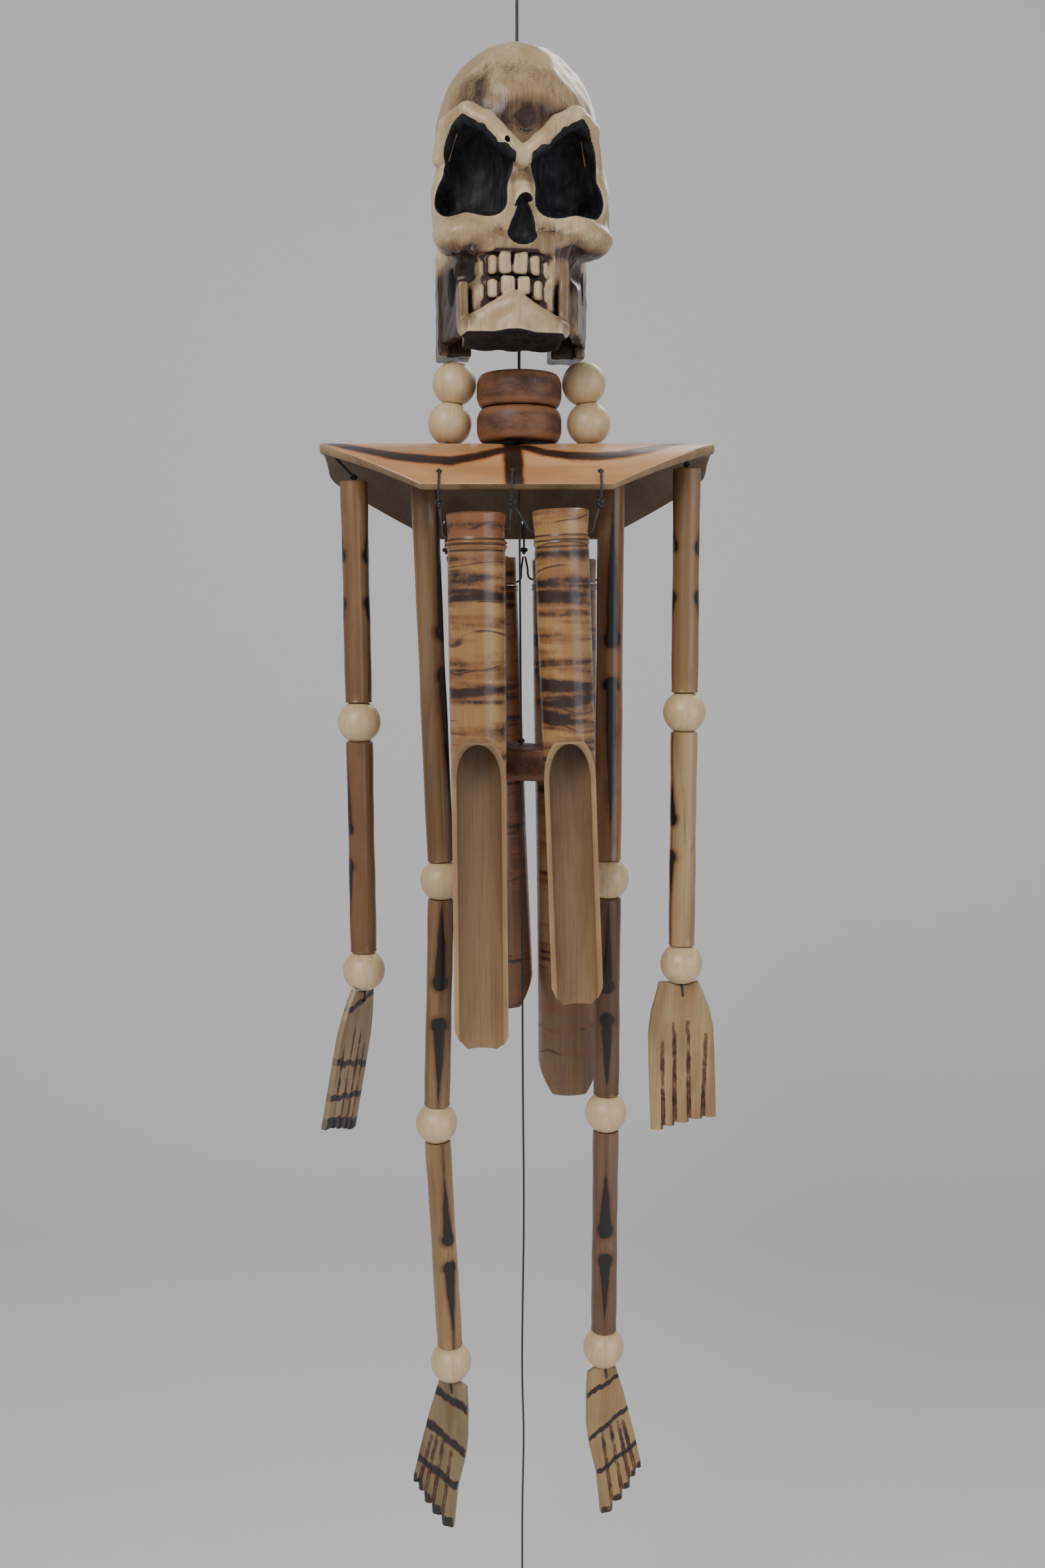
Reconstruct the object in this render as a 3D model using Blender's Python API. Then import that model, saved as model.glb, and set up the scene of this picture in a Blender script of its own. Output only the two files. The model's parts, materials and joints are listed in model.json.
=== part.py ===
"""Skeleton wind chime: a carved skull over bamboo shoulders, strung limbs and four chime tubes.

Metres, +Z up, the face looks along -Y. The origin is the inside top of the hanging loop.
"""
import math

import bmesh
import bpy
from mathutils import Euler, Matrix, Vector

GAP = 0.0003

# Cords
MAIN_CORD_D = 0.0016
TIE_CORD_D = 0.0015
THIN_CORD_D = 0.0011
KNOT_R = 0.0022
CORD_HOLE_R = 0.0014

# Hanging loop and its knot
LOOP_LENGTH = 0.0280
LOOP_WIDTH = 0.0120
LOOP_KNOT_R = 0.0036
LOOP_KNOT_Z = -0.0315

# Skull
SKULL_TOP_Z = -0.0600
SKULL_TURN = math.radians(8)
POST_END_Z = -0.2050
CHIN_Z = -0.2104
THROAT_Z = -0.1935

# Round wooden beads, flattened where they are drilled
BEAD_R = 0.0110
BEAD_HALF_HEIGHT = 0.00975
BEAD_BORE_R = 0.0016
BEAD_REACH = BEAD_HALF_HEIGHT + GAP

# Neck
SWING_CLEARANCE = 0.0010
DISC_R = 0.0212
DISC_HEIGHT = 0.0164
DISC_BORE_R = 0.0017
PLATE_TOP_Z = -0.2468
NECK_BEAD_Y = 0.0050
NECK_BEAD_LOW_X = {"left": -0.0340, "right": 0.0360}
NECK_BEAD_HIGH_X = {"left": -0.0315, "right": 0.0335}

NECK_STRAND_HOLE_X = (-0.0360, 0.0380)

# Shoulder plate: a split length of giant bamboo, its ends mitred, hanging a little nose-up
PLATE_R = 0.0480
PLATE_WALL = 0.0050
PLATE_PITCH = math.radians(13)
PLATE_HALF_ARC = math.radians(73)
PLATE_HALF_LENGTH = 0.0980
PLATE_EDGE_HALF_LENGTH = 0.0460
PLATE_MITRE_SLOPE = 1.83
PLATE_AXIS_Z = PLATE_TOP_Z - PLATE_R

# Limbs: bamboo tubes strung with beads. Each list runs down through the pivots, as (x, z).
LIMB_R = 0.0070
LIMB_BORE_R = 0.00175
SEAT_R = 0.0052
SEAT_DEPTH = 0.0015
TIE_REACH = 0.0019
TIE_STOP_R = 0.0017
TIE_STOP_DEPTH = 0.0019
TIE_SINK_R = 0.0021
TIE_SINK_DEPTH = 0.0040
TIE_HOLE_X = {"left_shoulder": -0.0915, "right_shoulder": 0.0850, "left_hip": -0.0470,
              "right_hip": 0.0472}
LEFT_ARM = [(-0.0822, -0.2632), (-0.0812, -0.3863), (-0.0805, -0.5167)]
RIGHT_ARM = [(0.0853, -0.2570), (0.0858, -0.3812), (0.0860, -0.5131)]
LEFT_LEG = [(-0.0470, -0.2611), (-0.0396, -0.4687), (-0.0430, -0.5999), (-0.0362, -0.7346)]
RIGHT_LEG = [(0.0472, -0.2611), (0.0472, -0.4680), (0.0471, -0.5940), (0.0467, -0.7262)]

# Hands and feet: flat bamboo slats
SLAT_THICKNESS = 0.0040
SLAT_NOTCH_R = BEAD_R + 0.0004

# Chime tubes: rim centre, foot of the axis, radius, side holes' depth under the rim (left, right)
CHIME_WALL = 0.0030
CHIME_SIDES = 18
CHIME_HOLE_R = 0.0017
CHIMES = {
    "front_left": {"rim": (-0.0193, -0.2844), "foot": (-0.0175, -0.5485), "y": -0.0430,
                   "radius": 0.0139, "holes": (0.0116, 0.0090), "scoop": 0.1120,
                   "chamfers": (0.0175, 0.0120), "faces": -1},
    "front_right": {"rim": (0.0206, -0.2828), "foot": (0.0302, -0.5253), "y": -0.0430,
                    "radius": 0.0131, "holes": (0.0100, 0.0114), "scoop": 0.1105,
                    "chamfers": (0.0150, 0.0150), "faces": -1},
    "back_left": {"rim": (-0.0178, -0.3007), "foot": (-0.0075, -0.5472), "y": 0.0485,
                  "radius": 0.0170, "holes": (0.0130, 0.0140), "scoop": 0.1000,
                  "chamfers": (0.0170, 0.0200), "faces": 1},
    "back_right": {"rim": (0.0252, -0.3014), "foot": (0.0288, -0.5967), "y": 0.0485,
                   "radius": 0.0174, "holes": (0.0110, 0.0118), "scoop": 0.1180,
                   "chamfers": (0.0200, 0.0190), "faces": 1},
}

# Edge loops that the chimes hang from: knots in a row under each long edge
FRONT_KNOT_YZ = (-0.0405, -0.2790)
BACK_KNOT_YZ = (0.0455, -0.2970)
FRONT_KNOT_X = {"left": -0.0370, "middle": -0.0022, "right": 0.0400}
BACK_KNOT_X = {"left": -0.0385, "middle": 0.0035, "right": 0.0450}
FRONT_HOLE_ANGLE = math.radians(-50)
BACK_HOLE_ANGLE = math.radians(74)

# Striker and wind sail on the centre line
CENTRE_X = 0.0010
CENTRE_KNOT_Z = -0.2548
STRIKER_X = 0.0020
STRIKER_R = 0.0225
STRIKER_TOP_Z = -0.3985
STRIKER_HEIGHT = 0.0160
SAIL_CORD_X = 0.0026
SAIL_TOP_Z = -0.8680
SAIL_WIDTH = 0.0300
SAIL_HEIGHT = 0.0460
SAIL_THICKNESS = 0.0040


def clear_scene():
    """Leave no objects from the start-up scene."""
    for obj in list(bpy.data.objects):
        bpy.data.objects.remove(obj, do_unlink=True)


def material(name, color, roughness, metallic=0.0):
    """A plain Principled BSDF with one colour."""
    mat = bpy.data.materials.get(name)
    if mat:
        return mat
    mat = bpy.data.materials.new(name)
    mat.use_nodes = True
    bsdf = mat.node_tree.nodes["Principled BSDF"]
    bsdf.inputs["Base Color"].default_value = (*color, 1.0)
    bsdf.inputs["Roughness"].default_value = roughness
    bsdf.inputs["Metallic"].default_value = metallic
    return mat


FINISHES = {
    "cord": ((0.012, 0.012, 0.014), 0.85),
    "skull": ((0.62, 0.52, 0.37), 0.55),
    "bead": ((0.66, 0.51, 0.32), 0.40),
    "disc": ((0.20, 0.075, 0.035), 0.35),
    "plate": ((0.62, 0.36, 0.17), 0.40),
    "arm": ((0.30, 0.17, 0.07), 0.38),
    "leg": ((0.28, 0.15, 0.06), 0.38),
    "slat": ((0.42, 0.27, 0.12), 0.50),
    "chime": ((0.45, 0.25, 0.09), 0.40),
    "sail": ((0.48, 0.30, 0.14), 0.50),
}


def finish_of(kind):
    """The material of one kind of piece."""
    color, roughness = FINISHES[kind]
    return material(kind, color, roughness)


def add_object(name, mesh, kind, smooth=True):
    """Link a mesh as one named piece with its material."""
    obj = bpy.data.objects.new(name, mesh)
    bpy.context.scene.collection.objects.link(obj)
    obj.data.materials.append(finish_of(kind))
    if smooth:
        obj.data.shade_smooth()
        obj.data.set_sharp_from_angle(angle=math.radians(40))
    return obj


def mesh_from(name, build):
    """A mesh filled by a bmesh function, with its faces pointing out."""
    bm = bmesh.new()
    build(bm)
    bmesh.ops.recalc_face_normals(bm, faces=bm.faces)
    mesh = bpy.data.meshes.new(name)
    bm.to_mesh(mesh)
    bm.free()
    return mesh


def turned_mesh(name, profile, steps, closed=True):
    """Turn a profile of (radius, z) about Z. An open profile starts and ends on the axis."""
    def build(bm):
        rings = []
        for radius, z in profile:
            if radius == 0:
                rings.append([bm.verts.new((0, 0, z))])
                continue
            ring = []
            for i in range(steps):
                turn = math.tau * i / steps
                ring.append(bm.verts.new((radius * math.cos(turn), radius * math.sin(turn), z)))
            rings.append(ring)
        pairs = list(zip(rings, rings[1:]))
        if closed:
            pairs.append((rings[-1], rings[0]))
        for upper, lower in pairs:
            for i in range(steps):
                j = (i + 1) % steps
                corners = [upper[i % len(upper)], upper[j % len(upper)],
                           lower[j % len(lower)], lower[i % len(lower)]]
                bm.faces.new(list(dict.fromkeys(corners)))
    return mesh_from(name, build)


def extruded_mesh(name, outline, thickness):
    """Extrude an outline of (x, z) along Y, centred on y = 0."""
    def build(bm):
        half = thickness / 2
        front = [bm.verts.new((x, -half, z)) for x, z in outline]
        back = [bm.verts.new((x, half, z)) for x, z in outline]
        bm.faces.new(front)
        bm.faces.new(back[::-1])
        for i in range(len(outline)):
            j = (i + 1) % len(outline)
            bm.faces.new((front[i], back[i], back[j], front[j]))
    return mesh_from(name, build)


def catmull_rom(points, spacing):
    """Points about `spacing` apart on a smooth curve through the route's points."""
    route = [Vector(p) for p in points]
    ends = [2 * route[0] - route[1], *route, 2 * route[-1] - route[-2]]
    found = [route[0]]
    for a, b, c, d in zip(ends, ends[1:], ends[2:], ends[3:]):
        steps = max(1, round((c - b).length / spacing))
        for k in range(1, steps + 1):
            t = k / steps
            found.append(0.5 * (2 * b + (c - a) * t + (2 * a - 5 * b + 4 * c - d) * t * t
                                + (3 * b - a - 3 * c + d) * t ** 3))
    return found


def cord(name, route, diameter, spacing=None, cyclic=False, sides=2):
    """A round cord along a route: a bevelled curve with closed ends."""
    points = catmull_rom(route, spacing or 3 * diameter)
    if cyclic:
        points = points[:-1]
    curve = bpy.data.curves.new(name, "CURVE")
    curve.dimensions = "3D"
    curve.bevel_depth = diameter / 2
    curve.bevel_resolution = sides
    curve.use_fill_caps = True
    spline = curve.splines.new("POLY")
    spline.points.add(len(points) - 1)
    for point, at in zip(spline.points, points):
        point.co = (*at, 1.0)
    spline.use_cyclic_u = cyclic
    obj = bpy.data.objects.new(name, curve)
    bpy.context.scene.collection.objects.link(obj)
    curve.materials.append(finish_of("cord"))
    return obj


def frozen(obj):
    """Replace a piece by the mesh that its curve or modifiers make, and return it."""
    bpy.context.view_layer.update()
    depsgraph = bpy.context.evaluated_depsgraph_get()
    mesh = bpy.data.meshes.new_from_object(obj.evaluated_get(depsgraph), depsgraph=depsgraph)
    name = obj.name
    place = obj.matrix_world.copy()
    mats = [m for m in obj.data.materials]
    bpy.data.objects.remove(obj, do_unlink=True)
    mesh.materials.clear()
    for mat in mats:
        mesh.materials.append(mat)
    made = bpy.data.objects.new(name, mesh)
    made.matrix_world = place
    bpy.context.scene.collection.objects.link(made)
    return made


def combine(obj, tools, operation):
    """Boolean several helper objects into or out of a piece, and remove the helpers."""
    for tool in tools:
        tool.hide_render = True
        tool.display_type = "WIRE"
        change = obj.modifiers.new(operation.title(), "BOOLEAN")
        change.operation = operation
        change.solver = "EXACT"
        change.object = tool
    made = frozen(obj)
    for tool in tools:
        bpy.data.objects.remove(tool, do_unlink=True)
    return made


def helper(mesh, at=(0, 0, 0), turn=(0, 0, 0)):
    """A helper object for a boolean."""
    obj = bpy.data.objects.new(mesh.name, mesh)
    obj.location = at
    obj.rotation_euler = turn
    bpy.context.scene.collection.objects.link(obj)
    return obj


def ball_mesh(name, radius, steps=10):
    """A small faceted ball, as a turned half circle."""
    rings = steps // 2
    profile = []
    for i in range(rings + 1):
        tilt = math.pi * i / rings
        profile.append((radius * math.sin(tilt) if 0 < i < rings else 0, radius * math.cos(tilt)))
    return turned_mesh(name, profile, steps, closed=False)


def rod_mesh(name, radius, length, steps=8):
    """A cylinder along Z, centred."""
    half = length / 2
    return turned_mesh(name, [(0, half), (radius, half), (radius, -half), (0, -half)], steps,
                       closed=False)


def knotted_cord(name, route, diameter, knots, **options):
    """A cord with round knots on it, as one piece."""
    line = frozen(cord(name, route, diameter, **options))
    balls = [helper(ball_mesh(name + "_knot", radius), at) for at, radius in knots]
    return combine(line, balls, "UNION")


def plate_point(x, angle, depth=0.0):
    """A point on the plate's skin, or `depth` below it. The angle is from the top, + to the back."""
    radius = PLATE_R - depth
    return Vector((x, radius * math.sin(angle), PLATE_AXIS_Z + radius * math.cos(angle)))


def hanging_loop():
    """The eye that goes over a hook, closed by its knot."""
    half = LOOP_WIDTH / 2
    top = MAIN_CORD_D / 2
    route = [(0, 0, top), (half * 0.72, 0, -0.0035), (half, 0, -LOOP_LENGTH * 0.36),
             (half * 0.62, 0, -LOOP_LENGTH * 0.75), (0.0009, 0, LOOP_KNOT_Z),
             (-0.0009, 0, LOOP_KNOT_Z), (-half * 0.62, 0, -LOOP_LENGTH * 0.75),
             (-half, 0, -LOOP_LENGTH * 0.36), (-half * 0.72, 0, -0.0035), (0, 0, top)]
    knotted_cord("hanging_loop", route, MAIN_CORD_D, [((0, 0, LOOP_KNOT_Z), LOOP_KNOT_R)],
                 cyclic=True, spacing=0.0048)


def hanging_cord():
    """The cord from the loop's knot down to the crown."""
    start = LOOP_KNOT_Z - LOOP_KNOT_R - GAP
    end = SKULL_TOP_Z + 0.0007
    cord("hanging_cord", [(0, 0, start), (0, 0, (start + end) / 2), (0, 0, end)], MAIN_CORD_D)


# Skull sections down from the crown: depth, half width, front, back
SKULL_SECTIONS = [
    (0.0000, 0.0090, -0.011, 0.013),
    (0.0045, 0.0190, -0.021, 0.022),
    (0.0130, 0.0290, -0.030, 0.029),
    (0.0300, 0.0375, -0.039, 0.035),
    (0.0480, 0.0395, -0.044, 0.037),
    (0.0620, 0.0420, -0.047, 0.037),
    (0.0780, 0.0430, -0.047, 0.036),
    (0.0920, 0.0430, -0.048, 0.034),
    (0.1010, 0.0400, -0.046, 0.031),
    (0.1110, 0.0300, -0.043, 0.027),
]


def skull_body_mesh():
    """The cranium and cheekbones, lofted through oval sections."""
    steps = 22

    def build(bm):
        rings = []
        for depth, half_width, front, back in SKULL_SECTIONS:
            ring = []
            middle = (front + back) / 2
            half_depth = (back - front) / 2
            for i in range(steps):
                turn = math.tau * i / steps
                c = math.copysign(abs(math.cos(turn)) ** 0.88, math.cos(turn))
                s = math.copysign(abs(math.sin(turn)) ** 0.88, math.sin(turn))
                ring.append(bm.verts.new((half_width * c, middle + half_depth * s, -depth)))
            rings.append(ring)
        bm.faces.new(rings[0])
        bm.faces.new(rings[-1][::-1])
        for upper, lower in zip(rings, rings[1:]):
            for i in range(steps):
                j = (i + 1) % steps
                bm.faces.new((upper[i], lower[i], lower[j], upper[j]))
    return mesh_from("skull", build)


def wedge_mesh(name, top, bottom):
    """A block between two rectangles, each given as (z, x low, x high, y low, y high)."""
    def build(bm):
        rings = []
        for z, x0, x1, y0, y1 in (top, bottom):
            rings.append([bm.verts.new(c) for c in
                          ((x0, y0, z), (x1, y0, z), (x1, y1, z), (x0, y1, z))])
        bm.faces.new(rings[0])
        bm.faces.new(rings[1][::-1])
        for i in range(4):
            j = (i + 1) % 4
            bm.faces.new((rings[0][i], rings[1][i], rings[1][j], rings[0][j]))
    return mesh_from(name, build)


def skull():
    """One carving: cranium, jaw with the teeth's block, two jaw posts, eye sockets and nose."""
    chin = CHIN_Z - SKULL_TOP_Z
    post_end = POST_END_Z - SKULL_TOP_Z
    body = add_object("skull", skull_body_mesh(), "skull")
    throat = THROAT_Z - SKULL_TOP_Z
    added = [
        helper(wedge_mesh("throat", (-0.0990, -0.0200, 0.0200, -0.0300, 0.0120),
                          (throat, -0.0180, 0.0180, -0.0300, 0.0090))),
        helper(wedge_mesh("teeth", (-0.0960, -0.0270, 0.0270, -0.0440, -0.0150),
                          (-0.1310, -0.0265, 0.0265, -0.0450, -0.0160))),
        helper(wedge_mesh("jaw", (-0.1290, -0.0262, 0.0262, -0.0470, -0.0170),
                          (chin, -0.0185, 0.0185, -0.0500, -0.0280))),
    ]
    for side in (-1, 1):
        x0, x1 = sorted((side * 0.0230, side * 0.0390))
        added.append(helper(wedge_mesh("post", (-0.0950, x0, x1, -0.0060, 0.0200),
                                       (post_end, x0, x1, -0.0020, 0.0190))))
        x0, x1 = sorted((side * 0.0225, side * 0.0335))
        added.append(helper(wedge_mesh("jaw_side", (-0.0990, x0, x1, -0.0390, -0.0040),
                                       (-0.1330, x0, x1, -0.0390, -0.0040))))
    body = combine(body, added, "UNION")
    cutters = []
    for side in (-1, 1):
        socket = ball_mesh("socket", 1.0, 14)
        socket.transform(Matrix.Diagonal((0.0180, 0.0270, 0.0205, 1.0)))
        cutters.append(helper(socket, (side * 0.0203, -0.0470, -0.0655)))
    nose = wedge_mesh("nose", (-0.0770, -0.0030, 0.0030, -0.0600, -0.0390),
                      (-0.0975, -0.0065, 0.0065, -0.0600, -0.0360))
    cutters.append(helper(nose))
    body = combine(body, cutters, "DIFFERENCE")
    place(body, (0, 0, SKULL_TOP_Z), (0, 0, SKULL_TURN))


def place(obj, at, turn=(0, 0, 0)):
    """Put a piece's origin at a point, turned."""
    obj.location = at
    obj.rotation_euler = turn
    return obj


def bead_profile():
    """A drilled bead: round outside, flat round the bore's ends."""
    flat_tilt = math.acos(BEAD_HALF_HEIGHT / BEAD_R)
    arcs = 6
    profile = [(BEAD_BORE_R, BEAD_HALF_HEIGHT)]
    for i in range(arcs + 1):
        tilt = flat_tilt + (math.pi - 2 * flat_tilt) * i / arcs
        profile.append((BEAD_R * math.sin(tilt), BEAD_R * math.cos(tilt)))
    profile.append((BEAD_BORE_R, -BEAD_HALF_HEIGHT))
    return profile


def bead(name, at, turn=(0, 0, 0)):
    """One round wooden bead on its cord."""
    return place(add_object(name, turned_mesh(name, bead_profile(), 12), "bead"), at, turn)


def disc_profile(radius, height, bore):
    """A barrel-shaped wooden disc with rounded edges and a bore."""
    half = height / 2
    return [(bore, half), (radius * 0.86, half), (radius * 0.95, half * 0.72), (radius, 0),
            (radius * 0.95, -half * 0.72), (radius * 0.86, -half), (bore, -half)]


def disc(name, at, radius, height, turn=(0, 0, 0)):
    """One wooden disc."""
    mesh = turned_mesh(name, disc_profile(radius, height, DISC_BORE_R), 20)
    return place(add_object(name, mesh, "disc"), at, turn)


def neck():
    """Two discs on the centre cord, and two beads on each side cord."""
    low = PLATE_TOP_Z + 0.0005 + DISC_HEIGHT / 2
    high = low + DISC_HEIGHT + GAP
    disc("neck_disc_lower", (CENTRE_X, 0, low), DISC_R, DISC_HEIGHT)
    disc("neck_disc_upper", (CENTRE_X, 0, high), DISC_R, DISC_HEIGHT)
    top = THROAT_Z - SWING_CLEARANCE
    knotted_cord("neck_cord_centre", [(CENTRE_X, 0, top), (CENTRE_X, 0, (top + CENTRE_KNOT_Z) / 2),
                                      (CENTRE_X, 0, CENTRE_KNOT_Z)],
                 TIE_CORD_D, [((CENTRE_X, 0, CENTRE_KNOT_Z), KNOT_R)], spacing=0.012)
    for side in ("left", "right"):
        neck_strand(side)


def neck_strand(side):
    """A side cord that leans outwards, with its two beads leaning along it."""
    low_x = NECK_BEAD_LOW_X[side]
    high_x = NECK_BEAD_HIGH_X[side]
    lean = math.asin((high_x - low_x) / (2 * BEAD_HALF_HEIGHT + GAP))
    flat_tilt = math.acos(BEAD_HALF_HEIGHT / BEAD_R)
    rest = PLATE_TOP_Z + GAP + BEAD_R * math.cos(flat_tilt - abs(lean))
    rise = (2 * BEAD_HALF_HEIGHT + GAP) * math.cos(lean)
    bead(f"neck_bead_lower_{side}", (low_x, NECK_BEAD_Y, rest), (0, lean, 0))
    bead(f"neck_bead_upper_{side}", (high_x, NECK_BEAD_Y, rest + rise), (0, lean, 0))

    def on_line(z):
        return Vector((low_x + (z - rest) * math.tan(lean), NECK_BEAD_Y, z))

    top = on_line(rest + 1.5 * rise - 0.0006)
    end = on_line(CENTRE_KNOT_Z)
    knotted_cord(f"neck_cord_{side}", [top, (top + end) / 2, end], TIE_CORD_D, [(end, KNOT_R)],
                 spacing=0.012)


def plate_half_length(tilt):
    """How far the plate reaches along X at an angle from its own ridge: blunt tips, then a mitre."""
    drop = PLATE_R * (math.cos(tilt) - math.cos(PLATE_HALF_ARC))
    return min(PLATE_HALF_LENGTH, PLATE_EDGE_HALF_LENGTH + PLATE_MITRE_SLOPE * drop)


def plate_mesh():
    """The curved shell, as strips along X between its outer and inner faces."""
    strips = 18
    columns = 7

    def build(bm):
        faces = {}
        for side, radius in (("skin", PLATE_R), ("inside", PLATE_R - PLATE_WALL)):
            for i in range(strips + 1):
                tilt = -PLATE_HALF_ARC + 2 * PLATE_HALF_ARC * i / strips
                reach = plate_half_length(tilt)
                angle = tilt + PLATE_PITCH
                for j in range(columns + 1):
                    x = reach * (2 * j / columns - 1)
                    at = (x, radius * math.sin(angle), PLATE_AXIS_Z + radius * math.cos(angle))
                    faces[side, i, j] = bm.verts.new(at)
        for i in range(strips):
            for j in range(columns):
                corners = ((i, j), (i + 1, j), (i + 1, j + 1), (i, j + 1))
                bm.faces.new([faces["skin", a, b] for a, b in corners])
                bm.faces.new([faces["inside", a, b] for a, b in corners[::-1]])
        for i in range(strips):
            for j in (0, columns):
                bm.faces.new((faces["skin", i, j], faces["skin", i + 1, j],
                              faces["inside", i + 1, j], faces["inside", i, j]))
        for j in range(columns):
            for i in (0, strips):
                bm.faces.new((faces["skin", i, j], faces["skin", i, j + 1],
                              faces["inside", i, j + 1], faces["inside", i, j]))
    return mesh_from("shoulder_plate", build)


def shoulder_plate():
    """The plate, drilled for the edge loops, the limbs' ties and the neck cord."""
    obj = add_object("shoulder_plate", plate_mesh(), "plate")
    drills = []
    for knots, angle in ((FRONT_KNOT_X, FRONT_HOLE_ANGLE), (BACK_KNOT_X, BACK_HOLE_ANGLE)):
        for x in knots.values():
            middle = plate_point(x, angle, PLATE_WALL / 2)
            drills.append(helper(rod_mesh("drill", CORD_HOLE_R, 0.02), middle, (-angle, 0, 0)))
    stepped = [(0, TIE_SINK_DEPTH), (TIE_SINK_R, TIE_SINK_DEPTH), (TIE_SINK_R, -TIE_SINK_DEPTH),
               (CORD_HOLE_R, -TIE_SINK_DEPTH), (CORD_HOLE_R, -2 * PLATE_WALL), (0, -2 * PLATE_WALL)]
    for x in TIE_HOLE_X.values():
        drill = turned_mesh("drill", stepped, 8, closed=False)
        drills.append(helper(drill, (x, 0, PLATE_TOP_Z)))
    drills.append(helper(rod_mesh("drill", CORD_HOLE_R, 0.02), (CENTRE_X, 0, PLATE_TOP_Z)))
    for x in NECK_STRAND_HOLE_X:
        at = (x, NECK_BEAD_Y, PLATE_TOP_Z)
        drills.append(helper(rod_mesh("drill", CORD_HOLE_R, 0.02), at))
    combine(obj, drills, "DIFFERENCE")


def edge_loop(name, x, hole_angle, knot_yz):
    """A loop of cord through a hole in the plate and round its edge, knotted below."""
    clear = THIN_CORD_D / 2 + GAP
    edge_angle = math.copysign(PLATE_HALF_ARC, hole_angle) + PLATE_PITCH
    step = math.copysign(math.radians(4), hole_angle)
    knot = Vector((x, *knot_yz))
    outside = plate_point(x, hole_angle, -clear)
    inside = plate_point(x, hole_angle, PLATE_WALL + clear)
    route = [knot, plate_point(x, edge_angle + step * 0.6, -clear * 1.2),
             plate_point(x, edge_angle - step, -clear * 1.1), outside + (outside - inside) * 0.05,
             (outside + inside) / 2, inside + (inside - outside) * 0.05,
             plate_point(x, edge_angle - step, PLATE_WALL + clear * 1.1),
             plate_point(x, edge_angle + step * 0.6, PLATE_WALL + clear * 1.2), knot]
    knotted_cord(name, route, THIN_CORD_D, [(knot, KNOT_R)], cyclic=True, spacing=0.0030, sides=1)


def edge_loops():
    """Three loops along the front edge and three along the back."""
    for row, knots, angle, knot_yz in (("front", FRONT_KNOT_X, FRONT_HOLE_ANGLE, FRONT_KNOT_YZ),
                                       ("back", BACK_KNOT_X, BACK_HOLE_ANGLE, BACK_KNOT_YZ)):
        for place_name, x in knots.items():
            edge_loop(f"{row}_loop_{place_name}", x, angle, knot_yz)


def limb_tie(name, pivot):
    """The cord that holds a limb: a knot sunk in the plate, a run through it, a knot below."""
    hole_x = TIE_HOLE_X[name.removesuffix("_tie")]
    x, z = pivot
    top = (hole_x, 0, PLATE_TOP_Z - TIE_STOP_DEPTH)
    through = (hole_x, 0, PLATE_TOP_Z - TIE_SINK_DEPTH)
    under = (hole_x, 0, PLATE_TOP_Z - PLATE_WALL - 0.0012)
    low = (x, 0, z)
    knotted_cord(name, [top, through, under, low], TIE_CORD_D, [(top, TIE_STOP_R), (low, KNOT_R)],
                 spacing=0.0030)


def limb_tube_profile(length):
    """A bamboo tube with a narrow bore, countersunk at both ends to seat a bead or a knot."""
    return [(SEAT_R, 0), (LIMB_R, 0), (LIMB_R, -length), (SEAT_R, -length),
            (LIMB_BORE_R, SEAT_DEPTH - length), (LIMB_BORE_R, -SEAT_DEPTH)]


def limb_tube(name, upper, lower, kind, first):
    """A tube between two pivots. The first tube of a limb starts under its tie's knot."""
    start = Vector((upper[0], 0, upper[1]))
    end = Vector((lower[0], 0, lower[1]))
    along = end - start
    reach = TIE_REACH if first else BEAD_REACH
    length = along.length - reach - BEAD_REACH
    mesh = turned_mesh(name, limb_tube_profile(length), 14)
    mesh.transform(Matrix.Translation((0, 0, -reach)))
    obj = add_object(name, mesh, kind)
    turn = Vector((0, 0, -1)).rotation_difference(along).to_euler()
    return place(obj, start, turn)


def limb(side, kind, pivots, tubes, beads, slat, tie):
    """String one limb: its tie, then tube and bead in turn, then the hand or foot."""
    limb_tie(f"{side}_{tie}", pivots[0])
    for i, (upper, lower) in enumerate(zip(pivots, pivots[1:])):
        limb_tube(f"{side}_{tubes[i]}", upper, lower, kind, first=i == 0)
        bead(f"{side}_{beads[i]}", (lower[0], 0, lower[1]))
    x, z = pivots[-1]
    make_slat(f"{side}_{slat}", slat, side, (x, 0, z))


# Slat outlines about the bead above them, for the right hand and the left foot: the outer side
# going down, the tips as (low x, high x, z), then the other side going down
HAND = {
    "outer": [(-0.0117, -0.0100), (-0.0130, -0.0162), (-0.0156, -0.0260), (-0.0169, -0.0371),
              (-0.0166, -0.0534)],
    "tips": [(-0.0150, -0.0082, -0.0908), (-0.0082, -0.0023, -0.0886), (-0.0023, 0.0053, -0.0863),
             (0.0053, 0.0124, -0.0840), (0.0124, 0.0195, -0.0827)],
    "inner": [(0.0088, -0.0088), (0.0118, -0.0156), (0.0151, -0.0241), (0.0173, -0.0338),
              (0.0183, -0.0534)],
}
FOOT = {
    "outer": [(-0.0064, -0.0104), (-0.0122, -0.0295), (-0.0183, -0.0533), (-0.0222, -0.0700)],
    "tips": [(-0.0226, -0.0198, -0.0742), (-0.0198, -0.0164, -0.0785), (-0.0164, -0.0119, -0.0850),
             (-0.0119, -0.0061, -0.0908), (-0.0061, 0.0012, -0.0965)],
    "inner": [(0.0092, -0.0129), (0.0098, -0.0250), (0.0096, -0.0430), (0.0080, -0.0550),
              (0.0038, -0.0720)],
}
SLAT_TURNS = {
    "left_hand": (0.0, math.radians(9), math.radians(68)),
    "right_hand": (0.0, 0.0, math.radians(-6)),
    "left_foot": (0.0, 0.0, math.radians(-18)),
    "right_foot": (0.0, 0.0, math.radians(18)),
}


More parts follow.
